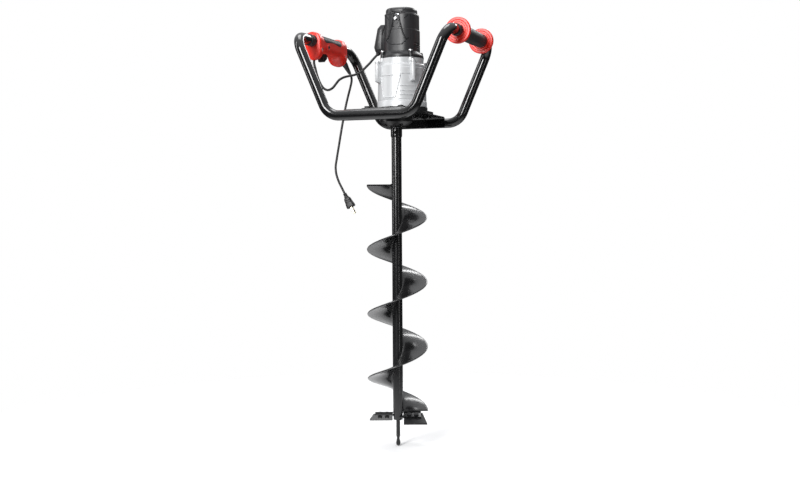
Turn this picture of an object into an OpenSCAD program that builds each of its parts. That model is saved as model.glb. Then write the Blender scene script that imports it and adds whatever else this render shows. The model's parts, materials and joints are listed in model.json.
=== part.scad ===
// Electric earth auger with a two-handed tube frame.
// Millimetres, +Z up. The origin is on the drill axis, midway between the two handle bars.
// The plain grip is toward +X, the switch handle toward -X, the near side tube toward -Y.

/* [Frame] */
// outside diameter of the bent frame tube
tube_d = 25; // [22:0.5:28]
// wall thickness of the frame tube
tube_wall = 2; // [1.5:0.25:3]
// distance from the drill axis to each handle bar
handle_reach = 196; // [180:1:230]
// distance from the drill axis to each side tube
frame_half_depth = 177; // [168:1:210]
// height of the handle bars above the side tube bottoms
frame_drop = 200; // [190:1:230]
// how far the arms lean outward from upright, degrees
arm_lean = 23.5; // [18:0.5:26]
// bend radius at the foot of each arm
foot_bend_r = 45; // [36:1:60]
// bend radius from each arm into its handle bar
top_bend_r = 42; // [36:1:50]

/* [Base plate] */
// half the width of the base plate
plate_half_w = 74; // [70:1:90]
// sheet thickness of the base plate
plate_t = 3; // [2:0.5:5]
// depth of the folded flanges
flange_depth = 28; // [24:1:36]
// outside radius of the fold
fold_r = 7; // [6:0.5:10]

/* [Gearbox] */
// outside diameter of the gearbox housing at its foot
gearbox_d = 125; // [122:1:150]
// height of the gearbox housing up to its shoulder
gearbox_h = 109; // [104:1:130]
// how far the motor axis sits beside the drill axis
motor_offset = 16; // [14:0.5:21]

/* [Motor] */
// diameter of the motor shroud at its foot
motor_d = 89; // [86:1:96]
// height of the motor shroud above its flange foot
motor_h = 127; // [120:1:150]
// wall thickness of the plastic shroud
shroud_wall = 2.5; // [2:0.25:3.5]

/* [Grips] */
// diameter of the two red grip discs
disc_d = 64; // [56:1:72]
// thickness of each grip disc
disc_t = 10; // [6:0.5:14]
// distance between the disc centres
disc_span = 192; // [170:1:200]
// diameter of the rubber grip sleeve
sleeve_d = 37; // [33:0.5:42]

/* [Switch handle] */
// overall length of the switch handle along its bar
switch_l = 172; // [165:1:185]
// width of the switch handle across its bar
switch_w = 42; // [40:1:48]
// how far the trigger moves when it is pulled
trigger_travel = 6; // [3:0.5:6]
// how far the lock button moves when it is pushed
lock_travel = 3; // [2:0.5:3]

/* [Auger] */
// outside diameter of the auger tube
auger_tube_d = 25.4; // [25:0.1:28]
// overall diameter of the helical flight
flight_d = 152.4; // [120:0.1:170]
// rise of the flight in one turn
flight_pitch = 163; // [150:1:170]
// plate thickness of the flight
flight_t = 4; // [3:0.5:6]
// length of the auger from the coupler foot to the end of its tube
auger_l = 698; // [690:1:760]
// length of the pilot point below the tube
pilot_l = 82; // [70:1:100]

/* [Cords] */
// diameter of the motor lead and the mains cord
cord_d = 6; // [5:0.25:7]

/* [Fasteners] */
// thread diameter of the four gearbox foot bolts
foot_bolt_d = 8; // [6:1:10]
// thread diameter of the motor and gearbox screws
case_screw_d = 5; // [4:0.5:6]
// clearance on every screw and bolt hole radius
hole_gap = 0.4; // [0.2:0.1:0.8]

/* [Hidden] */
$fn = 96;
// running and free gaps
run_gap = 0.05;
free_gap = 0.5;
weld_bite = 0.4;

// frame heights
tube_r = tube_d / 2;
base_z = -frame_drop;
plate_top_z = base_z + tube_r + 3.5;
plate_half_l = frame_half_depth - tube_r + weld_bite;
turn = 90 - arm_lean;
corner_x = handle_reach - frame_drop * tan(arm_lean);
corner_t = foot_bend_r * tan(turn / 2);
arm_l = frame_drop / cos(arm_lean) - corner_t - top_bend_r;
bar_half = frame_half_depth - top_bend_r;

// gearbox heights, from the plate upward
foot_t = 7;
ring_h = 12;
case_z = plate_top_z + ring_h;
shoulder_z = case_z + gearbox_h;
cover_h = 14;
flange_z = shoulder_z + cover_h;
gearbox_r = gearbox_d / 2;
cover_r = gearbox_r - 7.9;
foot_bolt_x = 44;
foot_bolt_y = 86;
boss_r = gearbox_r + 4.5;
boss_d = 13;
boss_l = 44;

// gears: the output wheel, the idler and the motor pinion
out_m = 1.5;
out_teeth = 44;
idler_small = 12;
fine_m = 1;
idler_large = 48;
rotor_teeth = 10;
tooth_tip = 1.8;
c_out = out_m * (out_teeth + idler_small) / 2;
c_rot = fine_m * (idler_large + rotor_teeth) / 2;
cavity_r = 0.8 + max(motor_offset + out_m * (out_teeth + tooth_tip) / 2,
  c_rot + fine_m * (idler_large + tooth_tip) / 2);
idler_x = (motor_offset * motor_offset + c_out * c_out - c_rot * c_rot) / (2 * motor_offset);
idler_y = sqrt(c_out * c_out - idler_x * idler_x);
idler_way = atan2(idler_y, idler_x);
rotor_way = atan2(-idler_y, motor_offset - idler_x);
idler_phase = idler_way * (1 + out_teeth / idler_small) + 180 + 180 / idler_small;
rotor_phase = rotor_way * (1 + idler_large / rotor_teeth) + 180 + 180 / rotor_teeth;
wheel_z = shoulder_z - 56;
wheel_t = 20;
fine_z = wheel_z + wheel_t + 4;
fine_t = 11;
web_z = shoulder_z - 14;
shaft_r = 10;
journal_r = 6;
rotor_shaft_r = 4;
idler_shaft_r = 5;
bearing_r = 9.5;
thrust_r = 21;

// carrier below the plate
carrier_r = 41;
carrier_bottom = plate_top_z - 37;
carrier_seat_z = plate_top_z - 23;

// motor heights
motor_r = motor_d / 2;
motor_top = flange_z + motor_h;
tier1_z = flange_z + 71;
tier2_z = motor_top - 17;
ear_r = motor_r + 8.5;
ear_pad_r = 6.5;
core_z = flange_z + 18;
core_h = 46;
rotor_r = 22;
comm_z = core_z + core_h + 8;

// auger levels
coupler_d = auger_tube_d + 3.6;
coupler_top = carrier_bottom - 1;
coupler_bottom = coupler_top - 23;
tube_end = coupler_bottom - auger_l;
auger_r = auger_tube_d / 2;
stub_r = auger_r - 3;
flight_bottom = tube_end + 6.5;
flight_turns = 3.5;
flight_end_angle = 21;
flight_steps = 48;
blade_tilt = 30;
blade_l = 62;
blade_w = 47;
blade_t = 4;
blade_z = tube_end - 2.5;
blade_bolt_y = -8;
wing_start = auger_r + 0.4;
wing_t = 4;

// switch handle
switch_near = -80;
switch_far = switch_near + switch_l;
shell_wall = 3;
trig_y = -18;
trig_w = 13;
trig_l = 24;
lock_y = -27;
lock_z = -12;
lead_y = switch_near + 9;
body_floor = -28;
body_top = 16;
lobe_top = 23;
lobe_bottom = -48;
inlay_w = 26;
inlay_l = 112;
inlay_y = -52;

// which node to draw

// ---- small helpers ----
module pipe(r_out, r_in, h) {
  difference() {
    cylinder(r = r_out, h = h);
    translate([0, 0, -1]) cylinder(r = r_in, h = h + 2);
  }
}

module tube_section() {
  difference() {
    circle(r = tube_r);
    circle(r = tube_r - tube_wall);
  }
}

module bend(radius, angle) {
  rotate_extrude(angle = angle) translate([radius, 0]) tube_section();
}

module rounded_box(size, r) {
  linear_extrude(height = size[2]) rounded_rect(size[0], size[1], r);
}

module rounded_rect(w, l, r) {
  square([w - 2 * r, l], center = true);
  square([w, l - 2 * r], center = true);
  for (x = [-1, 1], y = [-1, 1]) translate([x * (w / 2 - r), y * (l / 2 - r)]) circle(r = r);
}

module along_bar(y, h) {
  translate([0, y, 0]) rotate([-90, 0, 0]) linear_extrude(height = h) children();
}

module pan_screw(d, l) {
  translate([0, 0, -l]) cylinder(r = d / 2, h = l);
  difference() {
    cylinder(r = d * 0.9, h = d * 0.55);
    translate([0, 0, d * 0.25]) cube([d * 1.1, d * 0.22, d], center = false);
  }
}

module hex_bolt(d, l) {
  translate([0, 0, -l]) cylinder(r = d / 2, h = l);
  cylinder(r = d * 0.94, h = d * 0.65, $fn = 6);
}

// spur gear: trapezoid teeth on a round body, thinned a little for backlash
module gear(teeth, m, h, bore_r, phase) {
  root = m * (teeth - 2.5) / 2;
  tip = m * (teeth + tooth_tip) / 2;
  pitch_half = 76 / teeth;
  difference() {
    union() {
      cylinder(r = root, h = h);
      linear_extrude(height = h) for (i = [0 : teeth - 1]) rotate(phase + i * 360 / teeth)
        polygon([
          [root * 0.98 * cos(1.35 * pitch_half), -root * 0.98 * sin(1.35 * pitch_half)],
          [m * teeth / 2, -m * teeth / 2 * sin(pitch_half)],
          [tip, -tip * sin(0.35 * pitch_half)],
          [tip, tip * sin(0.35 * pitch_half)],
          [m * teeth / 2, m * teeth / 2 * sin(pitch_half)],
          [root * 0.98 * cos(1.35 * pitch_half), root * 0.98 * sin(1.35 * pitch_half)]
        ]);
    }
    translate([0, 0, -1]) cylinder(r = bore_r, h = h + 2);
  }
}

module ball_bearing(r_out, r_in, h) {
  pipe(r_out, r_out - (r_out - r_in) * 0.28, h);
  pipe(r_in + (r_out - r_in) * 0.28, r_in + run_gap, h);
  translate([0, 0, h * 0.1]) pipe(r_out - (r_out - r_in) * 0.28, r_in + (r_out - r_in) * 0.28, h * 0.8);
}

// ---- frame ----
module near_side_tube() {
  color("#16171a") translate([0, -frame_half_depth, base_z]) {
    rotate([0, 90, 0]) translate([0, 0, corner_t - corner_x])
      linear_extrude(height = 2 * (corner_x - corner_t)) tube_section();
    for (side = [0, 1]) mirror([side, 0, 0]) {
      translate([corner_x - corner_t, 0, foot_bend_r]) rotate([90, 0, 0]) rotate([0, 0, -90])
        bend(foot_bend_r, turn);
      translate([corner_x, 0, 0]) rotate([0, arm_lean, 0]) translate([0, 0, corner_t]) {
        linear_extrude(height = arm_l) tube_section();
        translate([0, top_bend_r, arm_l]) rotate([90, 0, 90]) rotate([0, 0, 90]) bend(top_bend_r, 90);
      }
    }
  }
}

module far_side_tube() {
  mirror([0, 1, 0]) near_side_tube();
}

module handle_bar() {
  color("#16171a") translate([0, -bar_half, 0]) rotate([-90, 0, 0])
    linear_extrude(height = 2 * bar_half) tube_section();
}

module left_handle_bar() {
  translate([-handle_reach, 0, 0]) handle_bar();
}

module right_handle_bar() {
  translate([handle_reach, 0, 0]) handle_bar();
}

module channel_section(half_l, depth, r) {
  translate([-half_l, -depth]) square([2 * half_l, depth - r]);
  translate([-half_l + r, -r]) square([2 * (half_l - r), r]);
  for (s = [-1, 1]) translate([s * (half_l - r), -r]) circle(r = r);
}

module base_plate() {
  color("#17181b") difference() {
    translate([-plate_half_w, 0, plate_top_z]) rotate([90, 0, 90]) linear_extrude(height = 2 * plate_half_w)
      difference() {
        channel_section(plate_half_l, flange_depth, fold_r);
        translate([0, -plate_t]) channel_section(plate_half_l - plate_t, flange_depth, fold_r - plate_t);
      }
    translate([0, 0, plate_top_z - 10]) cylinder(r = 32 + free_gap, h = 20);
    foot_bolt_places() translate([0, 0, -20]) cylinder(r = foot_bolt_d / 2 + hole_gap, h = 40);
    for (x = [-1, 1], y = [-1, 1]) translate([x * 58, y * 135, plate_top_z - 10]) cylinder(r = 4.5, h = 20);
  }
}

module foot_bolt_places() {
  for (x = [-1, 1], y = [-1, 1]) translate([x * foot_bolt_x, y * foot_bolt_y, plate_top_z + foot_t])
    children();
}

module foot_bolts() {
  color("#8d9094") foot_bolt_places() {
    hex_bolt(foot_bolt_d, foot_t + plate_t + foot_bolt_d);
    translate([0, 0, -foot_t - plate_t - foot_bolt_d * 0.75])
      cylinder(r = foot_bolt_d * 0.94, h = foot_bolt_d * 0.75, $fn = 6);
  }
}

// ---- gearbox ----
module gearbox_base() {
  color("#1c1d20") difference() {
    union() {
      translate([5, 0, plate_top_z]) rounded_box([126, 204, foot_t], 16);
      translate([motor_offset, 0, plate_top_z]) cylinder(r = gearbox_r + 1.5, h = ring_h);
      translate([0, 0, plate_top_z - plate_t]) cylinder(r = 32, h = plate_t);
      translate([idler_x, idler_y, plate_top_z + foot_t])
        cylinder(r = idler_shaft_r + 4.5, h = wheel_z - 6 - plate_top_z - foot_t);
      translate([0, 0, plate_top_z]) cylinder(r = 30, h = 40);
    }
    translate([0, 0, plate_top_z - 20]) cylinder(r = thrust_r, h = 80);
    translate([idler_x, idler_y, wheel_z - 22]) cylinder(r = idler_shaft_r + run_gap, h = 40);
    foot_bolt_places() translate([0, 0, -20]) cylinder(r = foot_bolt_d / 2 + hole_gap, h = 40);
    carrier_screw_places() translate([0, 0, -1]) cylinder(r = 2.5, h = 32);
  }
}

module carrier_screw_places() {
  for (a = [45 : 90 : 315]) rotate(a) translate([28, 0, carrier_seat_z]) children();
}

module bearing_carrier() {
  color("#202124") difference() {
    translate([0, 0, plate_top_z - plate_t]) rotate_extrude() polygon([
      [0, 0], [carrier_r, 0], [carrier_r, -20], [carrier_r - 16, -30], [carrier_r - 16, -34], [0, -34]
    ]);
    translate([0, 0, plate_top_z - 31]) cylinder(r = thrust_r, h = 60);
    translate([0, 0, carrier_bottom - 1]) cylinder(r = shaft_r + 5, h = 20);
    carrier_screw_places() {
      translate([0, 0, -1]) cylinder(r = 2.5 + hole_gap, h = 40);
      translate([0, 0, -30]) cylinder(r = 5, h = 30);
    }
  }
}

module carrier_screws() {
  color("#8d9094") carrier_screw_places() mirror([0, 0, 1]) pan_screw(5, 30);
}

module corner_places(r) {
  translate([motor_offset, 0, 0]) for (a = [45 : 90 : 315]) rotate(a) translate([r, 0, 0]) children();
}

module gearbox_housing() {
  color("#dfe1e2") difference() {
    union() {
      translate([motor_offset, 0, case_z]) rotate_extrude() polygon([
        [0, 0], [gearbox_r, 0], [gearbox_r, 14], [gearbox_r - 0.8, 15],
        [gearbox_r - 3.2, gearbox_h - 5], [gearbox_r - 6, gearbox_h], [0, gearbox_h]
      ]);
      corner_places(boss_r) translate([0, 0, shoulder_z - boss_l]) cylinder(r = boss_d / 2, h = boss_l + 2);
      corner_places(0) translate([gearbox_r - 9, -4, shoulder_z - boss_l + 4]) cube([13, 8, boss_l - 8]);
      housing_relief();
    }
    translate([motor_offset, 0, case_z - 1]) cylinder(r = cavity_r, h = gearbox_h - 13);
    translate([motor_offset, 0, web_z - 1]) cylinder(r = cover_r - 14, h = 40);
    corner_places(boss_r) translate([0, 0, shoulder_z - 30]) cylinder(r = case_screw_d / 2, h = 60);
  }
}

// raised panels and ribs cast into the wall of the gearbox housing
module housing_relief() {
  translate([motor_offset, 0, 0]) {
    for (a = [-105, 75]) rotate(a) translate([0, 0, case_z + 22]) relief_panel();
    for (a = [-55, 125], z = [26, 38, 50]) rotate(a) translate([0, 0, case_z + z]) relief_rib();
    translate([0, 0, case_z + gearbox_h - 36]) rotate(-72) rotate_extrude(angle = 40)
      translate([gearbox_r - 6, 0]) square([5.5, 3]);
  }
}

module relief_panel() {
  intersection() {
    cylinder(r = gearbox_r + 0.6, h = 62);
    rotate([90, 0, 90]) translate([0, 0, gearbox_r - 16]) linear_extrude(height = 30) difference() {
      polygon([[-26, 0], [26, 0], [34, 60], [-34, 60]]);
      polygon([[-22, 4], [22, 4], [29.4, 62], [-29.4, 62]]);
    }
  }
}

module relief_rib() {
  rotate(-20) rotate_extrude(angle = 40) translate([gearbox_r - 6, 0]) square([6.4, 2.4]);
}

module gearbox_cover() {
  color("#e4e6e7") difference() {
    union() {
      translate([0, 0, shoulder_z]) linear_extrude(height = cover_h) eared_disc(cover_r);
      corner_places(boss_r) translate([0, 0, shoulder_z + 2]) cylinder(r = boss_d / 2, h = 3);
      corner_places(0) translate([cover_r - 5, -5.5, shoulder_z + 2]) cube([boss_r - cover_r + 5, 11, 3]);
      translate([motor_offset, 0, web_z + 0.5]) cylinder(r = cover_r - 14.4, h = 20);
    }
    translate([motor_offset, 0, shoulder_z + 6]) cylinder(r = cover_r - 9, h = 30);
    translate([0, 0, web_z - 1]) cylinder(r = journal_r + run_gap, h = 10.5);
    translate([idler_x, idler_y, web_z - 1]) cylinder(r = idler_shaft_r + run_gap, h = 10.5);
    translate([motor_offset, 0, web_z - 1]) cylinder(r = rotor_shaft_r + 1, h = 60);
    translate([motor_offset, 0, shoulder_z - 1]) cylinder(r = bearing_r, h = 40);
    corner_places(ear_r) translate([0, 0, shoulder_z - 8]) cylinder(r = case_screw_d / 2, h = 40);
    corner_places(boss_r) translate([0, 0, shoulder_z - 8]) cylinder(r = case_screw_d / 2 + hole_gap, h = 40);
  }
}

module gearbox_screws() {
  color("#c9ccce") corner_places(boss_r) translate([0, 0, shoulder_z + 5]) pan_screw(case_screw_d, 24);
}

// ---- motor ----
module motor_profile(wall) {
  polygon([
    [0, 0], [motor_r - wall, 0], [motor_r - wall, tier1_z - flange_z - wall],
    [motor_r - 2 - wall, tier1_z - flange_z], [motor_r - 2 - wall, tier2_z - flange_z + 10],
    [0, tier2_z - flange_z + 10]
  ]);
}

// round plate about the motor axis with four screw ears
module eared_disc(r) {
  translate([motor_offset, 0]) circle(r = r);
  corner_places(ear_r) circle(r = ear_pad_r);
}

module motor_foot() {
  translate([0, 0, flange_z]) linear_extrude(height = 8) eared_disc(motor_r + 9);
  translate([motor_offset, 0, flange_z]) rotate_extrude() polygon([
    [0, 2], [motor_r + 8, 2], [motor_r + 8, 9], [motor_r, 17], [0, 17]
  ]);
  corner_places(ear_r) translate([0, 0, flange_z + 4]) cylinder(r = ear_pad_r - 1, h = 12);
}

module motor_housing() {
  color("#2b2c2f") difference() {
    union() {
      translate([motor_offset, 0, flange_z]) rotate_extrude() motor_profile(0);
      motor_foot();
      translate([motor_offset, 0, 0]) for (a = [-90, 90]) rotate(a) shroud_panel();
    }
    translate([motor_offset, 0, flange_z - 1]) rotate_extrude() motor_profile(shroud_wall);
    translate([motor_offset, 0, tier2_z]) cylinder(r = motor_r + 20, h = 40);
    corner_places(ear_r) translate([0, 0, flange_z - 1]) cylinder(r = case_screw_d / 2 + hole_gap, h = 40);
    translate([motor_offset - motor_r, -8, flange_z + 24]) cube([12, 16, 24], center = false);
    translate([motor_offset, 0, 0]) for (a = [-90, 90]) rotate(a)
      translate([motor_r - 8, 0, tier2_z - 12]) rotate([0, 90, 0]) cylinder(r = 2, h = 20);
  }
}

// raised waisted panel on the front and the back of the shroud
module shroud_panel() {
  translate([0, 0, flange_z + 22]) intersection() {
    cylinder(r = motor_r + 0.8, h = tier2_z - flange_z - 22);
    rotate([90, 0, 90]) translate([0, 0, motor_r - 12]) linear_extrude(height = 20)
      polygon([[-14, 0], [14, 0], [20, 12], [8, 62], [8, 90], [-8, 90], [-8, 62], [-20, 12]]);
  }
}

module motor_cap() {
  cap_r = motor_r - 4.5;
  color("#2e2f33") difference() {
    translate([motor_offset, 0, tier2_z]) rotate_extrude() polygon([
      [0, 0], [motor_r - 2, 0], [motor_r - 2, 1.5], [cap_r, 3], [cap_r - 0.5, 12], [cap_r - 4.5, 17], [0, 17]
    ]);
    translate([motor_offset, 0, tier2_z - 1]) cylinder(r = cap_r - shroud_wall - 3, h = 14);
    for (i = [0 : 1]) translate([motor_offset, 0, tier2_z + 4 + i * 4.4]) for (s = [-1, 1])
      translate([-6 - i * 2, s * 45 - 15, 0]) cube([12 + i * 4, 30, 2.2]);
  }
}

module motor_screws() {
  color("#d2d5d7") corner_places(ear_r) translate([0, 0, flange_z + 16])
    pan_screw(case_screw_d, cover_h + 10);
}

module cap_screws() {
  color("#c2c5c8") translate([motor_offset, 0, 0]) for (a = [-90, 90]) rotate(a)
    translate([motor_r + 0.8, 0, tier2_z - 12]) rotate([0, 90, 0]) {
      translate([0, 0, -6]) cylinder(r = 1.9, h = 6);
      cylinder(r = 3.4, h = 1.8);
    }
}

module control_box() {
  color("#303236") difference() {
    translate([motor_offset - motor_r, 0, flange_z + 18]) difference() {
      translate([0, 18, 0]) rotate([90, 0, 0]) linear_extrude(height = 36) polygon([
        [3, 0], [-18.5, 0], [-21.5, 4], [-24.5, 14], [-15, 61], [-6, 70], [5, 70]
      ]);
      translate([0, 15.5, 0]) rotate([90, 0, 0]) linear_extrude(height = 31) polygon([
        [3, 3], [-17, 3], [-19, 6], [-21.5, 14.5], [-12.5, 59.5], [-5, 67], [3, 67]
      ]);
    }
    translate([motor_offset, 0, flange_z]) cylinder(r = motor_r, h = 130);
    translate(lead_start) along(lead_dir) translate([0, 0, -10]) cylinder(r = cord_d / 2 + 1, h = 20);
  }
}

module stator_core() {
  color("#8b8e91") translate([motor_offset, 0, core_z]) difference() {
    cylinder(r = motor_r - shroud_wall - 2, h = core_h);
    translate([0, 0, -1]) cylinder(r = rotor_r + 1, h = core_h + 2);
    for (a = [0, 180]) rotate(a + 90) translate([18, -12, -1]) cube([14, 24, core_h + 2]);
  }
}

module stator_windings() {
  color("#a8622c") translate([motor_offset, 0, core_z]) for (z = [-9, core_h + 0.5]) translate([0, 0, z])
    pipe(motor_r - shroud_wall - 6, rotor_r + 4, 8);
}

module brush_gear() {
  color("#b28a3a") translate([motor_offset, 0, comm_z + 3]) for (a = [0, 180]) rotate(a) {
    translate([13.6, -4, 0]) cube([motor_r - shroud_wall - 4 - 13.6, 8, 8]);
  }
}

module output_bearings() {
  color("#b9bcbf") for (z = [carrier_bottom + 8, plate_top_z + 6]) translate([0, 0, z])
    ball_bearing(thrust_r, shaft_r, 14);
}

module output_seal() {
  color("#1a1a1c") translate([0, 0, carrier_bottom + 0.5]) pipe(shaft_r + 5, shaft_r + run_gap, 5);
}

module rotor_bearings() {
  color("#b9bcbf") {
    translate([motor_offset, 0, shoulder_z + 0.5]) ball_bearing(bearing_r, rotor_shaft_r, 7);
    translate([motor_offset, 0, tier2_z - 3]) {
      ball_bearing(bearing_r, rotor_shaft_r, 7);
      pipe(motor_r - 2 - shroud_wall, bearing_r, 3);
    }
  }
}

// ---- switch handle ----
module lobe(y, l, inset) {
  translate([0, 0, (lobe_top + lobe_bottom) / 2]) along_bar(y + inset, l - 2 * inset)
    rounded_rect(switch_w + 4 - 2 * inset, lobe_top - lobe_bottom - 2 * inset, switch_w / 2 + 1.5 - inset);
}

module shell_bulk(inset) {
  translate([-handle_reach, 0, 0]) {
    lobe(switch_near, 18, inset);
    lobe(switch_far - 28, 28, inset);
    translate([0, 0, (body_top + body_floor) / 2]) along_bar(switch_near + inset, switch_l - 2 * inset)
      rounded_rect(switch_w - 2 * inset, body_top - body_floor - 2 * inset, 14 - inset);
  }
}

module switch_shell() {
  difference() {
    shell_bulk(0);
    shell_bulk(shell_wall);
    translate([-handle_reach, -bar_half, 0]) rotate([-90, 0, 0]) cylinder(r = tube_r + 0.1, h = 2 * bar_half);
    translate([-handle_reach - trig_w / 2 - free_gap, trig_y - trig_l / 2 - free_gap, body_floor - 5])
      cube([trig_w + 2 * free_gap, trig_l + 2 * free_gap, 14]);
    translate([-handle_reach - inlay_w / 2, inlay_y, body_top - 4]) cube([inlay_w, inlay_l, 20]);
    translate([-handle_reach + 8, lock_y, lock_z]) rotate([0, 90, 0]) cylinder(r = 4.5 + free_gap, h = 40);
    translate([-handle_reach + 1, lead_y, lobe_bottom - 5]) cylinder(r = cord_d / 2 + free_gap, h = 12);
    shell_screw_places() translate([0, 0, -12]) cylinder(r = 1.6, h = 30);
  }
}

module shell_screw_places() {
  for (y = [switch_near + 9, switch_far - 14]) translate([-handle_reach + switch_w / 2 + 2, y, lobe_bottom + 26])
    rotate([0, 90, 0]) children();
}

module switch_shell_inner() {
  color("#e23a2c") intersection() {
    switch_shell();
    translate([-handle_reach, -200, -100]) cube([100, 400, 200]);
  }
}

module switch_shell_outer() {
  color("#de382b") intersection() {
    switch_shell();
    translate([-handle_reach - 100, -200, -100]) cube([100, 400, 200]);
  }
}

module handle_inlay() {
  color("#3a3c40") translate([-handle_reach, 0, 0]) intersection() {
    translate([-inlay_w / 2, inlay_y, body_top - 3]) cube([inlay_w, inlay_l, 12]);
    translate([0, 0, (body_top + body_floor) / 2]) along_bar(inlay_y, inlay_l)
      rounded_rect(switch_w + 1.2, body_top - body_floor + 1.2, 14.6);
  }
}

module switch_block() {
  color("#26272a") translate([-handle_reach - 9, trig_y + trig_l / 2 + 2, body_floor + shell_wall])
    cube([18, 20, 12]);
}

module shell_screws() {
  color("#c2c5c8") shell_screw_places() {
    translate([0, 0, -5]) cylinder(r = 1.6, h = 5);
    cylinder(r = 3, h = 1.5);
  }
}

module trigger() {
  color("#232427") translate([-handle_reach, trig_y, 0]) {
    translate([-trig_w / 2, -trig_l / 2, body_floor - 20]) {
      translate([0, 0, 6]) cube([trig_w, trig_l, 18]);
      translate([0, 6, 6]) rotate([0, 90, 0]) cylinder(r = 6, h = trig_w);
      translate([0, trig_l - 6, 6]) rotate([0, 90, 0]) cylinder(r = 6, h = trig_w);
      translate([0, 6, 0]) cube([trig_w, trig_l - 12, 8]);
    }
    translate([-9, -trig_l / 2, body_floor + shell_wall + free_gap]) cube([18, trig_l, 2.5]);
  }
}

module lock_button() {
  color("#1b1c1e") translate([-handle_reach, lock_y, lock_z]) rotate([0, 90, 0]) {
    translate([0, 0, 15]) cylinder(r = 4.5, h = switch_w / 2 - 15 + lock_travel);
    translate([0, 0, 15]) cylinder(r = 6, h = 2);
  }
}

module switch_collars() {
  color("#242528") translate([-handle_reach, 0, 0]) {
    along_bar(switch_near - 26, 26) ring_section(tube_r + 2.4);
    along_bar(switch_far, 16) ring_section(tube_r + 2.4);
  }
}

module ring_section(r) {
  difference() {
    circle(r = r);
    circle(r = tube_r);
  }
}

// ---- plain grip ----
module grip_sleeve() {
  color("#36383b") translate([handle_reach, 0, 0]) along_bar(-disc_span / 2 + disc_t / 2, disc_span - disc_t)
    ring_section(sleeve_d / 2);
}

module grip_disc(y) {
  color("#e23a2c") translate([handle_reach, y, 0]) rotate([-90, 0, 0]) translate([0, 0, -disc_t / 2])
    rotate_extrude() polygon([
      [tube_r, 0], [disc_d / 2 - 3, 0], [disc_d / 2, 3], [disc_d / 2, disc_t - 3],
      [disc_d / 2 - 3, disc_t], [tube_r, disc_t]
    ]);
}

module near_grip_disc() {
  grip_disc(-disc_span / 2);
}

module far_grip_disc() {
  grip_disc(disc_span / 2);
}

module grip_collars() {
  color("#242528") translate([handle_reach, 0, 0]) {
    along_bar(-disc_span / 2 - disc_t / 2 - 20, 20) ring_section(tube_r + 2.4);
    along_bar(disc_span / 2 + disc_t / 2, 20) ring_section(tube_r + 2.4);
  }
}

// ---- cords ----
// tube swept along a smooth curve through hand-chosen points
function cr(a, b, c, d, t) = 0.5 * ((2 * b) + (c - a) * t + (2 * a - 5 * b + 4 * c - d) * t * t
  + (3 * b - a - 3 * c + d) * t * t * t);
function pick(p, i) = p[max(0, min(len(p) - 1, i))];
function curve(p, n) = [for (s = [0 : (len(p) - 1) * n])
  let (i = min(floor(s / n), len(p) - 2), t = s / n - i)
  cr(pick(p, i - 1), pick(p, i), pick(p, i + 1), pick(p, i + 2), t)];
function unit(v) = v / norm(v);
function tangent(c, i) = unit(pick(c, i + 1) - pick(c, i - 1));
function side_of(t) = unit(cross(t, abs(t[1]) < 0.9 ? [0, 1, 0] : [1, 0, 0]));
function carried(c, i) = i == 0 ? side_of(tangent(c, 0))
  : let (p = carried(c, i - 1), t = tangent(c, i)) unit(p - (p * t) * t);

module swept(points, r, n, sides) {
  c = curve(points, n);
  rings = [for (i = [0 : len(c) - 1]) let (t = tangent(c, i), u = carried(c, i), v = cross(t, u))
    for (k = [0 : sides - 1]) c[i] + r * (cos(k * 360 / sides) * u + sin(k * 360 / sides) * v)];
  last = (len(c) - 1) * sides;
  polyhedron(points = rings, faces = concat(
    [[for (k = [0 : sides - 1]) k]],
    [for (i = [0 : len(c) - 2], k = [0 : sides - 1]) let (a = i * sides, b = (k + 1) % sides)
      [a + k, a + sides + k, a + sides + b, a + b]],
    [[for (k = [sides - 1 : -1 : 0]) last + k]]
  ));
}

relief_root = [12 - handle_reach, switch_far, -36];
relief_dir = unit([4, 30, -26]);
mains_start = relief_root + 39 * relief_dir;
mains_points = [
  mains_start, mains_start + 10 * relief_dir, [-180, 134, -80], [-183, 133, -96], [-188, 129, -120],
  [-194, 125, -150], [-200, 122, -185], [-206, 120, -220], [-212, 119, -255], [-218, 118, -290],
  [-221, 117, -312], [-219, 117, -332], [-212, 117, -352], [-203, 118, -370], [-196, 119, -384]
];
plug_dir = unit([7, 1, -14]);

lead_start = [motor_offset - motor_r - 15, -9, flange_z + 18];
lead_dir = unit([-28, -12, -33]);
lead_points = [
  lead_start, lead_start + 10 * lead_dir, [-57, -15, -47], [-64, -18, -56], [-72, -22, -65],
  [-80, -26, -74], [-89, -30, -81], [-99, -35, -86], [-111, -42, -89], [-123, -50, -93],
  [-133, -56, -100], [-140, -60, -110], [-148, -63, -120], [-159, -66, -125], [-170, -69, -120],
  [-179, -71, -106], [-186, -72, -88], [-191, -72, -70], [-handle_reach + 1, lead_y, -56],
  [-handle_reach + 1, lead_y, lobe_bottom + 3]
];

module along(direction) {
  rotate([0, acos(direction[2]), atan2(direction[1], direction[0])]) children();
}

module strain_relief() {
  color("#4a4c50") translate(relief_root) intersection() {
    along(relief_dir) translate([0, 0, -12]) rotate_extrude() polygon([
      [0, 0], [7.5, 0], [7.5, 22], [cord_d / 2 + 1, 51], [0, 51]
    ]);
    translate([-40, 0, -60]) cube([80, 60, 80]);
  }
}

module mains_cord() {
  color("#1d1e20") swept(mains_points, cord_d / 2, 2, 10);
}

module plug_frame() {
  translate(mains_points[len(mains_points) - 1]) along(plug_dir) children();
}

module plug_body() {
  color("#222326") plug_frame() {
    cylinder(r = cord_d / 2 + 2, h = 16);
    translate([0, 0, 12]) rounded_box([18, 24, 30], 6);
  }
}

module plug_blades() {
  color("#c9c7bd") plug_frame() for (s = [-1, 1]) translate([-3, s * 6.3 - 0.75, 42]) cube([6, 1.5, 18]);
}

module motor_lead() {
  color("#1d1e20") swept(lead_points, cord_d / 2, 2, 10);
}

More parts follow.
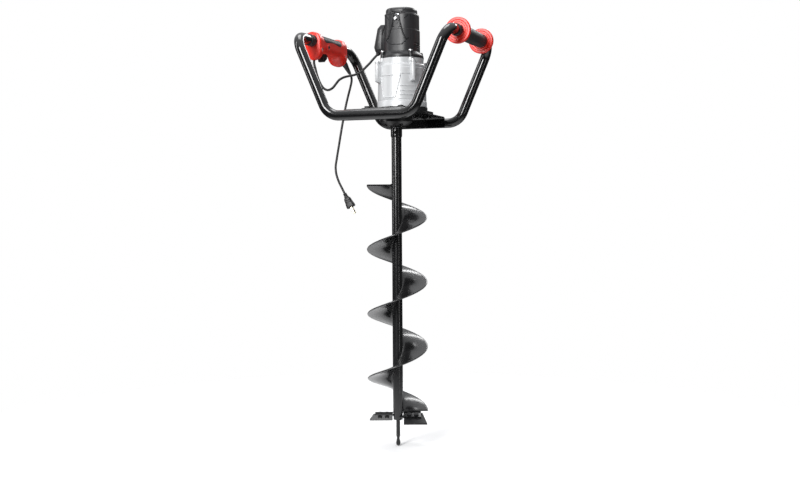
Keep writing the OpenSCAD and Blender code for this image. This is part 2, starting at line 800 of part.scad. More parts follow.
module lead_gland() {
  color("#2a2b2e") intersection() {
    translate(lead_start) along(lead_dir) translate([0, 0, -8]) pipe(5.5, cord_d / 2, 14);
    translate(lead_start - [15, 15, 15]) cube([30, 30, 15]);
  }
}

// ---- auger ----
module output_shaft() {
  color("#a7abae") {
    difference() {
      translate([0, 0, coupler_bottom - 12]) cylinder(r = stub_r, h = coupler_top - coupler_bottom + 12);
      bolt_bore(3.2);
    }
    translate([0, 0, coupler_top]) cylinder(r = shaft_r, h = wheel_z + wheel_t + 2 - coupler_top);
    translate([0, 0, wheel_z + wheel_t]) cylinder(r = journal_r, h = web_z + 8 - wheel_z - wheel_t);
  }
}

module output_gear() {
  color("#9da1a4") translate([0, 0, wheel_z]) gear(out_teeth, out_m, wheel_t, shaft_r, 0);
}

module coupler() {
  color("#141517") difference() {
    translate([0, 0, coupler_bottom]) pipe(coupler_d / 2, auger_r, coupler_top - coupler_bottom);
    bolt_bore(3.2);
  }
}

module bolt_bore(r) {
  translate([0, 0, (coupler_top + coupler_bottom) / 2]) rotate([90, 0, 21]) cylinder(r = r, h = 60, center = true);
}

module coupler_bolt() {
  color("#77797c") translate([0, 0, (coupler_top + coupler_bottom) / 2]) rotate([90, 0, 21]) {
    cylinder(r = 3, h = coupler_d + 4, center = true);
    translate([0, 0, coupler_d / 2]) cylinder(r = 5.8, h = 4, $fn = 6);
    translate([0, 0, -coupler_d / 2 - 5]) cylinder(r = 5.8, h = 5, $fn = 6);
  }
}

module auger_tube() {
  color("#17181a") difference() {
    translate([0, 0, tube_end]) cylinder(r = auger_r, h = coupler_top - tube_end);
    translate([0, 0, tube_end + 20]) cylinder(r = stub_r, h = auger_l + 100);
    translate([0, 0, tube_end - 1]) cylinder(r = 5, h = 40);
    bolt_bore(3.2);
  }
}

module flight(from_turn, turns) {
  steps = round(flight_steps * turns);
  r_in = auger_r - weld_bite;
  r_out = flight_d / 2;
  function corner(r, dz, i) = let (s = from_turn + turns * i / steps, a = flight_end_angle + 360 * s)
    [r * cos(a), r * sin(a), flight_bottom + flight_pitch * s + dz];
  pts = [for (i = [0 : steps]) each [corner(r_in, 0, i), corner(r_out, 0, i),
    corner(r_out, flight_t, i), corner(r_in, flight_t, i)]];
  color("#1a1b1d") polyhedron(points = pts, convexity = 10, faces = concat(
    [[0, 1, 2, 3]],
    [for (i = [0 : steps - 1], k = [0 : 3]) let (a = 4 * i, b = (k + 1) % 4)
      each [[a + k, a + 4 + k, a + 4 + b], [a + k, a + 4 + b, a + b]]],
    [[4 * steps + 3, 4 * steps + 2, 4 * steps + 1, 4 * steps]]
  ));
}

module flight_1() {
  flight(0, 0.5);
}

module flight_2() {
  flight(0.5, 1);
}

module flight_3() {
  flight(1.5, 1);
}

module flight_4() {
  flight(2.5, 1);
}

module blade_places() {
  for (s = [0, 180]) rotate(flight_end_angle + s) translate([0, 0, blade_z]) rotate([blade_tilt, 0, 0])
    children();
}

module blade_holder() {
  color("#1b1c1e") difference() {
    union() {
      translate([0, 0, tube_end - 16]) cylinder(r = auger_r - 1, h = 16);
      blade_places() {
        translate([wing_start, -16, 0]) cube([58 - wing_start, 22, wing_t]);
        translate([6, -16, 0]) cube([12, 7, wing_t]);
      }
    }
    translate([0, 0, tube_end - 20]) cylinder(r = 5, h = 30);
    blade_places() for (x = [28, 46]) translate([x, blade_bolt_y, -5]) cylinder(r = 3 + hole_gap, h = 20);
  }
}

module cutting_blades() {
  color("#1f2022") blade_places() difference() {
    translate([0, 0, -blade_t]) linear_extrude(height = blade_t)
      polygon([[wing_start + 1, 4], [blade_l, 4], [blade_l + 13, 4 - blade_w], [wing_start + 1, 4 - blade_w]]);
    for (x = [28, 46]) translate([x, blade_bolt_y, -9]) cylinder(r = 3 + hole_gap, h = 20);
    translate([wing_start, 10 - blade_w, -blade_t]) rotate([-35, 0, 0]) translate([0, -20, -10])
      cube([blade_l + 10, 20, 14]);
  }
}

module blade_bolts() {
  color("#2a2b2e") blade_places() for (x = [28, 46]) translate([x, blade_bolt_y, 0]) {
    translate([0, 0, -blade_t - 5]) cylinder(r = 3, h = blade_t + wing_t + 5);
    translate([0, 0, wing_t]) cylinder(r = 5.6, h = 4, $fn = 6);
    translate([0, 0, -blade_t - 5]) cylinder(r = 5.6, h = 5, $fn = 6);
  }
}

module pilot_point() {
  color("#191a1c") {
    translate([0, 0, tube_end - pilot_l + 18]) rotate_extrude() polygon([
      [0, 0], [3, 0], [5, 8], [5, pilot_l + 6], [0, pilot_l + 6]
    ]);
    rotate([90, 0, flight_end_angle]) linear_extrude(height = 5, center = true) polygon([
      [-3, tube_end - pilot_l + 19], [-5.5, tube_end - pilot_l + 8], [-4.5, tube_end - pilot_l + 2],
      [0, tube_end - pilot_l], [4.5, tube_end - pilot_l + 2], [5.5, tube_end - pilot_l + 8],
      [3, tube_end - pilot_l + 19]
    ]);
  }
}

// ---- idler and rotor ----
module idler_pinion() {
  color("#92969a") translate([idler_x, idler_y, 0]) {
    translate([0, 0, wheel_z - 18]) cylinder(r = idler_shaft_r, h = web_z + 8 - wheel_z + 18);
    translate([0, 0, wheel_z]) gear(idler_small, out_m, wheel_t, idler_shaft_r, idler_phase);
  }
}

module idler_gear() {
  color("#9a9da0") translate([idler_x, idler_y, fine_z])
    gear(idler_large, fine_m, fine_t, idler_shaft_r, 0);
}

module rotor_shaft() {
  color("#a9acb0") translate([motor_offset, 0, 0]) {
    translate([0, 0, fine_z - 1]) gear(rotor_teeth, fine_m, fine_t + 2, 1, rotor_phase);
    translate([0, 0, fine_z + fine_t + 1]) cylinder(r = rotor_shaft_r, h = tier2_z + 3 - fine_z - fine_t);
  }
}

module rotor_core() {
  color("#7f8285") translate([motor_offset, 0, core_z + 1]) difference() {
    cylinder(r = rotor_r, h = core_h - 2);
    translate([0, 0, -1]) cylinder(r = rotor_shaft_r, h = core_h);
    for (a = [0 : 30 : 330]) rotate(a) translate([rotor_r - 5, -1.2, -1]) cube([8, 2.4, core_h]);
  }
}

module commutator() {
  color("#b8733a") translate([motor_offset, 0, comm_z]) difference() {
    cylinder(r = 13, h = 14);
    translate([0, 0, -1]) cylinder(r = rotor_shaft_r, h = 16);
    for (a = [0 : 30 : 330]) rotate(a) translate([11.5, -0.4, -1]) cube([3, 0.8, 16]);
  }
}

module cooling_fan() {
  color("#3c3e42") translate([motor_offset, 0, flange_z + 2]) difference() {
    union() {
      cylinder(r = 9, h = 7);
      cylinder(r = 34, h = 1.5);
      for (a = [0 : 36 : 324]) rotate(a) translate([8, -0.9, 1]) cube([25, 1.8, 6]);
    }
    translate([0, 0, -1]) cylinder(r = rotor_shaft_r, h = 10);
  }
}

// ---- draw ----
near_side_tube();
far_side_tube();
left_handle_bar();
right_handle_bar();
base_plate();
foot_bolts();
gearbox_base();
bearing_carrier();
carrier_screws();
gearbox_housing();
gearbox_cover();
gearbox_screws();
motor_housing();
motor_cap();
motor_screws();
cap_screws();
control_box();
stator_core();
stator_windings();
brush_gear();
output_bearings();
output_seal();
rotor_bearings();
switch_shell_inner();
switch_shell_outer();
handle_inlay();
switch_block();
shell_screws();
trigger();
lock_button();
switch_collars();
grip_sleeve();
near_grip_disc();
far_grip_disc();
grip_collars();
strain_relief();
mains_cord();
plug_body();
plug_blades();
motor_lead();
lead_gland();
output_shaft();
output_gear();
coupler();
coupler_bolt();
auger_tube();
flight_1();
flight_2();
flight_3();
flight_4();
blade_holder();
cutting_blades();
blade_bolts();
pilot_point();
idler_pinion();
idler_gear();
rotor_shaft();
rotor_core();
commutator();
cooling_fan();
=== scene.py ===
# %% [markdown]
# # An electric earth auger, dressed around its CAD frame
# The machine is a bent tube frame with two grips, a geared motor, and a helical flight that
# digs. Its sizes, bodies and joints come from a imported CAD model. This lesson adds what the
# eye needs: round edges, moulded ribs, real cords and a finish for each surface.

# %% Load the frame
import json
import math

import bmesh
import bpy
from mathutils import Matrix, Quaternion, Vector


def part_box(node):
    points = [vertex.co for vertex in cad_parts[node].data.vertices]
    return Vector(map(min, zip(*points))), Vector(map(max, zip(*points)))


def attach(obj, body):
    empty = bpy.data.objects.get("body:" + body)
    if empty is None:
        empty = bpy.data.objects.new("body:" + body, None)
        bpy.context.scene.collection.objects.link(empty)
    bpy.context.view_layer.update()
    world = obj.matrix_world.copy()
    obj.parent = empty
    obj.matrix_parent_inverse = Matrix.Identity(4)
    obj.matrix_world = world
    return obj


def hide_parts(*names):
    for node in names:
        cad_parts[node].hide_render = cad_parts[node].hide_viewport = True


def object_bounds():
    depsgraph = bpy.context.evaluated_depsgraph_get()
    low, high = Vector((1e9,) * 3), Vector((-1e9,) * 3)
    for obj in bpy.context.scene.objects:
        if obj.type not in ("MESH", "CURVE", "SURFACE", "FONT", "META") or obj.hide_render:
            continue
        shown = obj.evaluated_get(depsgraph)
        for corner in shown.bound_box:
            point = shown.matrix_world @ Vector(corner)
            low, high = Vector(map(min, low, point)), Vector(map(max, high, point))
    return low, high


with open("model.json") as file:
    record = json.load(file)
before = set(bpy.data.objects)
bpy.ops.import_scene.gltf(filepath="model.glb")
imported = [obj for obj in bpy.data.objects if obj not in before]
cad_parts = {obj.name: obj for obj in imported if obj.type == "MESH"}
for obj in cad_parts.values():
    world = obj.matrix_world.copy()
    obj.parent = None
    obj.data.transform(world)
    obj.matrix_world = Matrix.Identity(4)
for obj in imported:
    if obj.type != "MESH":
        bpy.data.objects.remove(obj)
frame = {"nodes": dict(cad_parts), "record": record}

cad_low, cad_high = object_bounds()
scene = bpy.context.scene
mm = 0.001

# %% [markdown]
# ## The camera
# A studio picture of a tall tool is taken from a few metres off with a long lens, so that the
# uprights stay upright. The camera here stands 2.88 m away, turned 21 degrees, about level with
# the middle of the machine; a small lens shift centres the tool in the frame.

# %% Camera
view_turn = math.radians(21)
camera_away, camera_z = 2.88, -0.424
eye = Vector((camera_away * math.sin(view_turn), -camera_away * math.cos(view_turn), camera_z))
looking = Vector((-math.sin(view_turn), math.cos(view_turn), 0))

camera_data = bpy.data.cameras.new("studio_camera")
camera_data.lens = 51.2
camera_data.sensor_width = 36
camera_data.shift_x = 0.0039
camera_data.shift_y = -0.0525
camera = bpy.data.objects.new("studio_camera", camera_data)
scene.collection.objects.link(camera)
camera.location = eye
camera.rotation_mode = "QUATERNION"
roll = Quaternion((0, 0, 1), math.radians(-0.35))
camera.rotation_quaternion = looking.to_track_quat("-Z", "Y") @ roll
scene.camera = camera
print("camera at", [round(v, 3) for v in eye])

# %% [markdown]
# ## Studio light and floor
# Gloss black tube is drawn by its reflections: it needs narrow bright strips in a dim room.
# So the room is dark below and bright above to everything but the camera, which sees white,
# and soft boxes stand in front, left, right, above and behind. The floor is a pale disc that
# fades out at its rim.

# %% Light helpers
def softbox(name, place, aim, width, height, watts):
    """A rectangular area light at place, turned to aim."""
    data = bpy.data.lights.new(name, "AREA")
    data.shape = "RECTANGLE"
    data.size, data.size_y, data.energy = width, height, watts
    light = bpy.data.objects.new(name, data)
    light.location = place
    light.rotation_mode = "QUATERNION"
    light.rotation_quaternion = (Vector(aim) - Vector(place)).to_track_quat("-Z", "Y")
    scene.collection.objects.link(light)


middle = (0, 0, -0.35)
softbox("key_box", (-0.35, -3.2, 0.75), middle, 0.9, 2.0, 118)
softbox("left_strip", (-2.7, -1.0, 0.6), middle, 0.30, 2.4, 20)
softbox("top_box", (-0.3, 0.4, 2.4), middle, 1.4, 1.4, 30)
softbox("back_strip", (0.4, 2.6, 1.3), middle, 1.6, 0.35, 16)
softbox("right_fill", (2.9, -1.6, -0.9), middle, 0.16, 1.6, 5)

# %% A helper that wires nodes
def wire(tree, *pairs):
    """Link (node, output, node, input) rows in a node tree."""
    for giver, output, taker, entry in pairs:
        tree.links.new(giver.outputs[output], taker.inputs[entry])


# %% World
world = bpy.data.worlds.new("white_room")
world.use_nodes = True
scene.world = world
room = world.node_tree
room.nodes.clear()
seen = room.nodes.new("ShaderNodeBackground")
seen.inputs["Color"].default_value = (1, 1, 1, 1)
felt = room.nodes.new("ShaderNodeBackground")
heading = room.nodes.new("ShaderNodeTexCoord")
parts = room.nodes.new("ShaderNodeSeparateXYZ")
height_ramp = room.nodes.new("ShaderNodeValToRGB")
height_ramp.color_ramp.elements[0].position = 0.56
height_ramp.color_ramp.elements[0].color = (0.055, 0.056, 0.058, 1)
height_ramp.color_ramp.elements[1].position = 0.92
height_ramp.color_ramp.elements[1].color = (0.95, 0.96, 0.98, 1)
half_up = room.nodes.new("ShaderNodeMath")
half_up.operation = "MULTIPLY_ADD"
half_up.inputs[1].default_value = 0.5
half_up.inputs[2].default_value = 0.5
wire(room, (heading, "Generated", parts, 0), (parts, "Z", half_up, 0),
     (half_up, 0, height_ramp, "Fac"), (height_ramp, "Color", felt, "Color"))
path_kind = room.nodes.new("ShaderNodeLightPath")
choose = room.nodes.new("ShaderNodeMixShader")
room_out = room.nodes.new("ShaderNodeOutputWorld")
wire(room, (path_kind, "Is Camera Ray", choose, "Fac"), (felt, 0, choose, 1), (seen, 0, choose, 2),
     (choose, 0, room_out, "Surface"))
print("room:", world.name)

# %% Floor
floor_z = cad_low.z - 0.0006
floor_r, floor_sides = 1.7, 96
floor_mesh = bpy.data.meshes.new("floor")
rim = [(floor_r * math.cos(math.tau * i / floor_sides), floor_r * math.sin(math.tau * i / floor_sides),
        floor_z) for i in range(floor_sides)]
floor_mesh.from_pydata(rim, [], [list(range(floor_sides))])
floor = bpy.data.objects.new("floor", floor_mesh)
scene.collection.objects.link(floor)

pale = bpy.data.materials.new("pale_floor")
pale.use_nodes = True
tree = pale.node_tree
tree.nodes.clear()
place = tree.nodes.new("ShaderNodeTexCoord")
away = tree.nodes.new("ShaderNodeVectorMath")
away.operation = "LENGTH"
fade = tree.nodes.new("ShaderNodeMapRange")
fade.inputs["From Min"].default_value = 1.02
fade.inputs["From Max"].default_value = 1.65
white = tree.nodes.new("ShaderNodeBsdfDiffuse")
white.inputs["Color"].default_value = (0.93, 0.93, 0.93, 1)
clear = tree.nodes.new("ShaderNodeBsdfTransparent")
blend = tree.nodes.new("ShaderNodeMixShader")
out = tree.nodes.new("ShaderNodeOutputMaterial")
wire(tree, (place, "Object", away, 0), (away, "Value", fade, "Value"),
     (fade, "Result", blend, "Fac"), (white, 0, blend, 1), (clear, 0, blend, 2),
     (blend, 0, out, "Surface"))
floor_mesh.materials.append(pale)
scene.view_settings.view_transform = "Standard"
print("floor at", round(floor_z, 4))

# %% [markdown]
# ## Finishes, built from three shared groups
# Nothing on a real tool is one flat colour. Three effects recur: a fine grain that the mould,
# the sand or the spray leaves, a slow drift of colour and gloss from handling, and a light rub
# on the edges that stand proud. Each is a node group, placed in a material with its own values.

# %% A helper that starts a node group
def new_group(name, inputs, outputs):
    """An empty shader group with named sockets: its tree, its input node and its output node."""
    made = bpy.data.node_groups.new(name, "ShaderNodeTree")
    for label, kind, value in inputs:
        made.interface.new_socket(name=label, in_out="INPUT", socket_type=kind).default_value = value
    for label, kind in outputs:
        made.interface.new_socket(name=label, in_out="OUTPUT", socket_type=kind)
    return made, made.nodes.new("NodeGroupInput"), made.nodes.new("NodeGroupOutput")


# %% Group one: fine grain
grain, grain_in, grain_out = new_group(
    "fine_grain",
    [("Scale", "NodeSocketFloat", 900.0), ("Pebble", "NodeSocketFloat", 0.5)],
    [("Height", "NodeSocketFloat")])
where = grain.nodes.new("ShaderNodeTexCoord")
cloud = grain.nodes.new("ShaderNodeTexNoise")
cloud.inputs["Detail"].default_value = 2
pebble = grain.nodes.new("ShaderNodeTexVoronoi")
pebble.feature = "SMOOTH_F1"
both = grain.nodes.new("ShaderNodeMix")
wire(grain, (where, "Object", cloud, "Vector"), (where, "Object", pebble, "Vector"),
     (grain_in, "Scale", cloud, "Scale"), (grain_in, "Scale", pebble, "Scale"),
     (grain_in, "Pebble", both, "Factor"), (cloud, "Fac", both, "A"),
     (pebble, "Distance", both, "B"), (both, "Result", grain_out, "Height"))

# %% Group two: handling
handling, handling_in, handling_out = new_group(
    "handling",
    [("Colour", "NodeSocketColor", (0.5, 0.5, 0.5, 1)), ("Drift", "NodeSocketColor", (0.5, 0.5, 0.5, 1)),
     ("Gloss Loss", "NodeSocketFloat", 0.4), ("Spread", "NodeSocketFloat", 0.1),
     ("Scale", "NodeSocketFloat", 14.0)],
    [("Colour", "NodeSocketColor"), ("Roughness", "NodeSocketFloat")])
where = handling.nodes.new("ShaderNodeTexCoord")
broad = handling.nodes.new("ShaderNodeTexNoise")
broad.inputs["Detail"].default_value = 7
broad.inputs["Roughness"].default_value = 0.62
tint = handling.nodes.new("ShaderNodeMix")
tint.data_type = "RGBA"
uneven = handling.nodes.new("ShaderNodeMath")
uneven.operation = "MULTIPLY_ADD"
shift = handling.nodes.new("ShaderNodeMath")
shift.operation = "SUBTRACT"
shift.inputs[1].default_value = 0.5
wire(handling, (where, "Object", broad, "Vector"), (handling_in, "Scale", broad, "Scale"),
     (broad, "Fac", tint, "Factor"), (handling_in, "Colour", tint, "A"),
     (handling_in, "Drift", tint, "B"), (tint, "Result", handling_out, "Colour"),
     (broad, "Fac", shift, 0), (shift, 0, uneven, 0), (handling_in, "Spread", uneven, 1),
     (handling_in, "Gloss Loss", uneven, 2), (uneven, 0, handling_out, "Roughness"))

# %% Group three: rubbed edges
rubbed, rubbed_in, rubbed_out = new_group(
    "rubbed_edges",
    [("Colour", "NodeSocketColor", (0.5, 0.5, 0.5, 1)), ("Bare", "NodeSocketColor", (0.6, 0.6, 0.6, 1)),
     ("Amount", "NodeSocketFloat", 0.3)],
    [("Colour", "NodeSocketColor"), ("Mask", "NodeSocketFloat")])
shape = rubbed.nodes.new("ShaderNodeNewGeometry")
proud = rubbed.nodes.new("ShaderNodeMapRange")
proud.inputs["From Min"].default_value = 0.57
proud.inputs["From Max"].default_value = 0.70
where = rubbed.nodes.new("ShaderNodeTexCoord")
broken = rubbed.nodes.new("ShaderNodeTexNoise")
broken.inputs["Scale"].default_value = 160
broken.inputs["Detail"].default_value = 6
patchy = rubbed.nodes.new("ShaderNodeMapRange")
patchy.inputs["From Min"].default_value = 0.45
patchy.inputs["From Max"].default_value = 0.7
meet = rubbed.nodes.new("ShaderNodeMath")
meet.operation = "MULTIPLY"
share = rubbed.nodes.new("ShaderNodeMath")
share.operation = "MULTIPLY"
show = rubbed.nodes.new("ShaderNodeMix")
show.data_type = "RGBA"
wire(rubbed, (shape, "Pointiness", proud, "Value"), (where, "Object", broken, "Vector"),
     (broken, "Fac", patchy, "Value"), (proud, "Result", meet, 0), (patchy, "Result", meet, 1),
     (meet, 0, share, 0), (rubbed_in, "Amount", share, 1), (share, 0, show, "Factor"),
     (rubbed_in, "Colour", show, "A"), (rubbed_in, "Bare", show, "B"),
     (show, "Result", rubbed_out, "Colour"), (share, 0, rubbed_out, "Mask"))
print("node groups:", [g.name for g in bpy.data.node_groups])

# %% [markdown]
# ## The finishes themselves
# One recipe makes them all: the handling group sets colour and gloss, the rub group lightens
# the edges, and the grain group drives a bump. What stays the same all over a surface, such as
# metal or clear coat, is set on the shader itself.

# %% One recipe for every finish
finishes = {}


def finish(name, colour, drift, gloss_loss, spread=0.08, drift_scale=14, grain_scale=900,
           pebble_share=0.5, grain_depth=0.02, bare=None, rub=0.0, **settings):
    """A Principled material with drifting colour and gloss, rubbed edges and a grain."""
    made = bpy.data.materials.new(name)
    made.use_nodes = True
    nodes, links = made.node_tree.nodes, made.node_tree.links
    shader = nodes["Principled BSDF"]
    hand = nodes.new("ShaderNodeGroup")
    hand.node_tree = handling
    hand.inputs["Colour"].default_value = (*colour, 1)
    hand.inputs["Drift"].default_value = (*drift, 1)
    hand.inputs["Gloss Loss"].default_value = gloss_loss
    hand.inputs["Spread"].default_value = spread
    hand.inputs["Scale"].default_value = drift_scale
    worn = nodes.new("ShaderNodeGroup")
    worn.node_tree = rubbed
    worn.inputs["Bare"].default_value = (*(bare or colour), 1)
    worn.inputs["Amount"].default_value = rub
    links.new(hand.outputs["Colour"], worn.inputs["Colour"])
    links.new(worn.outputs["Colour"], shader.inputs["Base Color"])
    links.new(hand.outputs["Roughness"], shader.inputs["Roughness"])
    fine = nodes.new("ShaderNodeGroup")
    fine.node_tree = grain
    fine.inputs["Scale"].default_value = grain_scale
    fine.inputs["Pebble"].default_value = pebble_share
    bump = nodes.new("ShaderNodeBump")
    bump.inputs["Strength"].default_value = 1.0
    bump.inputs["Distance"].default_value = grain_depth * mm
    links.new(fine.outputs["Height"], bump.inputs["Height"])
    links.new(bump.outputs["Normal"], shader.inputs["Normal"])
    for label, value in settings.items():
        shader.inputs[label.replace("_", " ")].default_value = value
    finishes[name] = made


# %% Paints
finish("black_frame_paint", (0.004, 0.004, 0.0045), (0.007, 0.007, 0.0075), 0.16, 0.07, 9, 90,
       0.1, 0.0006, (0.10, 0.10, 0.105), 0.3, Coat_Weight=0.35, Coat_Roughness=0.06)
finish("black_base_paint", (0.006, 0.006, 0.0065), (0.011, 0.011, 0.012), 0.34, 0.14, 22, 200,
       0.5, 0.005, (0.08, 0.08, 0.08), 0.35)
finish("auger_paint", (0.004, 0.004, 0.0045), (0.008, 0.008, 0.0085), 0.24, 0.10, 11, 90,
       0.1, 0.0008, (0.16, 0.16, 0.165), 0.5, Coat_Weight=0.3, Coat_Roughness=0.12)
finish("blade_steel", (0.008, 0.008, 0.0085), (0.016, 0.016, 0.017), 0.33, 0.14, 30, 160,
       0.4, 0.002, (0.30, 0.30, 0.31), 0.6, Metallic=0.2)
print("paints:", len(finishes))

# %% Metals
finish("cast_aluminium", (0.62, 0.63, 0.64), (0.54, 0.55, 0.56), 0.42, 0.14, 18, 300,
       0.6, 0.012, (0.78, 0.78, 0.78), 0.4, Metallic=0.25)
finish("zinc_steel", (0.86, 0.87, 0.88), (0.74, 0.75, 0.77), 0.30, 0.14, 60, 900,
       0.3, 0.01, Metallic=0.7)
finish("gear_steel", (0.50, 0.51, 0.53), (0.38, 0.39, 0.41), 0.27, 0.16, 40, 1300,
       0.3, 0.02, (0.75, 0.75, 0.76), 0.5, Metallic=1.0)
finish("laminated_steel", (0.36, 0.37, 0.39), (0.22, 0.22, 0.24), 0.42, 0.16, 40, 1200,
       0.3, 0.03, Metallic=0.9)
finish("copper_wire", (0.62, 0.25, 0.10), (0.42, 0.15, 0.06), 0.33, 0.14, 50, 1400,
       0.5, 0.05, Metallic=0.85)
finish("brass_blades", (0.74, 0.70, 0.58), (0.62, 0.57, 0.44), 0.24, 0.12, 60, 1500,
       0.3, 0.012, Metallic=1.0)
print("paints and metals:", len(finishes))

# %% Plastics and rubbers
finish("motor_plastic", (0.015, 0.015, 0.0165), (0.023, 0.023, 0.025), 0.40, 0.12, 16, 350,
       0.8, 0.006, (0.06, 0.06, 0.063), 0.3, Specular_IOR_Level=0.5)
finish("red_plastic", (0.93, 0.030, 0.014), (0.88, 0.022, 0.010), 0.36, 0.08, 16, 300,
       0.8, 0.0015, (0.85, 0.06, 0.04), 0.2, Coat_Weight=0.1, Coat_Roughness=0.25)
finish("grip_rubber", (0.020, 0.020, 0.022), (0.030, 0.030, 0.032), 0.52, 0.12, 26, 600,
       0.9, 0.02, (0.06, 0.06, 0.063), 0.3)
finish("switch_plastic", (0.008, 0.008, 0.009), (0.014, 0.014, 0.015), 0.34, 0.12, 30, 600,
       0.8, 0.01, (0.05, 0.05, 0.053), 0.3)
finish("cord_rubber", (0.006, 0.006, 0.0065), (0.014, 0.014, 0.015), 0.42, 0.14, 40, 500,
       0.6, 0.02)
print("finishes:", sorted(finishes))

# %% [markdown]
# ## Dressing the CAD nodes that stay
# Gears, bolts and castings that the CAD already draws well are kept. Each gets its finish, a
# small bevel along its sharp edges, and smooth shading between them. The bevel is a modifier,
# so the CAD mesh itself is untouched.

# %% Carry a CAD node over
slots = {row["node"]: row["material_slot"] for row in frame["record"]["subparts"]}
body_of = {node: body for body, members in frame["record"]["behaviour"]["bodies"].items()
           for node in members}


def carry(node, round_mm):
    """Finish a CAD node in place: material, weld, bevel and shading."""
    made = frame["nodes"][node]
    made.data.materials.clear()
    made.data.materials.append(finishes[slots[node]])
    for polygon in made.data.polygons:
        polygon.use_smooth = True
    weld = made.modifiers.new("weld", "WELD")
    weld.merge_threshold = 0.00001
    if round_mm:
        edge = made.modifiers.new("edge", "BEVEL")
        edge.width = round_mm * mm
        edge.segments = 2
        edge.limit_method = "ANGLE"
        edge.angle_limit = math.radians(32)
        edge.use_clamp_overlap = True
        edge.harden_normals = False
    lean = made.modifiers.new("normals", "WEIGHTED_NORMAL")
    lean.keep_sharp = False
    lean.weight = 60


edge_round_mm = 0.35
for node in frame["nodes"]:
    thin_or_soft = any(word in node for word in ("flight", "cord", "lead"))
    carry(node, 0 if thin_or_soft else edge_round_mm)
print("carried:", len(frame["nodes"]))

# %% [markdown]
# ## Tools for making pieces
# Most pieces here are one of three shapes: a section swept along a path, a profile turned
# round an axis, or a loft through a stack of rings. Small helpers make each as a clean closed
# mesh, and one function gives it a finish, a body to ride and hides the CAD node it stands in for.

# %% Mesh to piece
def facing_out(mesh):
    """Turn every face of a closed mesh outwards."""
    work = bmesh.new()
    work.from_mesh(mesh)
    bmesh.ops.recalc_face_normals(work, faces=work.faces)
    work.to_mesh(mesh)
    work.free()


def piece(name, points, faces, node, sharp=40):
    """A mesh object that takes the place of one CAD node."""
    mesh = bpy.data.meshes.new(name)
    mesh.from_pydata([tuple(p) for p in points], [], faces)
    mesh.validate()
    mesh.update()
    mesh.materials.append(finishes[slots[node]])
    made = bpy.data.objects.new(name, mesh)
    scene.collection.objects.link(made)
    facing_out(mesh)
    mesh.shade_smooth()
    mesh.set_sharp_from_angle(angle=math.radians(sharp))
    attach(made, body_of[node])
    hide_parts(node)
    return made


def join_parts(parts):
    """Several (points, faces) pairs as one."""
    points, faces = [], []
    for some_points, some_faces in parts:
        base = len(points)
        points += list(some_points)
        faces += [[i + base for i in face] for face in some_faces]
    return points, faces


def moved(part, matrix):
    """(points, faces) carried by a matrix."""
    return [matrix @ Vector(p) for p in part[0]], part[1]


# %% Rings to a skin
def skin(rings):
    """Quads between rings of the same count, with the first and last ring closed."""
    count = len(rings[0])
    points = [p for ring in rings for p in ring]
    faces = []
    for i in range(len(rings) - 1):
        for k in range(count):
            a, b = i * count + k, i * count + (k + 1) % count
            faces.append([a, b, b + count, a + count])
    faces.append(list(range(count))[::-1])
    faces.append([(len(rings) - 1) * count + k for k in range(count)])
    return points, faces


# %% Round the corners of a path or a profile
def rounded(corners, radii, step=6):
    """Corner points replaced by arcs of the given radii, a point every step degrees."""
    corners = [Vector(c) for c in corners]
    if not hasattr(radii, "__len__"):
        radii = [radii] * (len(corners) - 2)
    line = [corners[0]]
    last_corner = len(corners) - 2
    for place, before, corner, after, radius in zip(range(1, last_corner + 1), corners, corners[1:],
                                                    corners[2:], radii):
        u, w = (before - corner).normalized(), (after - corner).normalized()
        open_angle = u.angle(w, math.pi)
        bend = math.pi - open_angle
        if bend < 0.02 or radius <= 0:
            line.append(corner)
            continue
        back = radius * math.tan(bend / 2)
        back = min(back, (0.999 if place == 1 else 0.49) * (before - corner).length,
                   (0.999 if place == last_corner else 0.49) * (after - corner).length)
        radius = back / math.tan(bend / 2)
        centre = corner + (u + w).normalized() * (radius / math.cos(bend / 2))
        first, last = corner + u * back, corner + w * back
        count = max(2, int(math.degrees(bend) / step) + 1)
        spin_axis = (first - centre).cross(last - centre)
        for i in range(count + 1):
            line.append(centre + Quaternion(spin_axis, bend * i / count) @ (first - centre))
    line.append(corners[-1])
    return line


# %% Keep the edge wear near the edges
def supported(line, near=0.0012):
    """Long straight steps get a point close to each end, so that nothing smears along them."""
    result = [line[0]]
    for a, b in zip(line, line[1:]):
        long = (b - a).length
        if long > 4 * near:
            result += [a + (b - a) * (near / long), b + (a - b) * (near / long)]
        result.append(b)
    return result


# %% Sweep a round section along a path
def sweep(line, radius, sides):
    """A round tube of one radius along line."""
    line = supported([Vector(p) for p in line])
    ways = [(line[min(i + 1, len(line) - 1)] - line[max(i - 1, 0)]).normalized()
            for i in range(len(line))]
    side = ways[0].orthogonal().normalized()
    rings = []
    for point, way in zip(line, ways):
        side = (side - way * side.dot(way)).normalized()
        up = way.cross(side)
        rings.append([point + radius * (math.cos(math.tau * k / sides) * side
                                        + math.sin(math.tau * k / sides) * up) for k in range(sides)])
    return skin(rings)


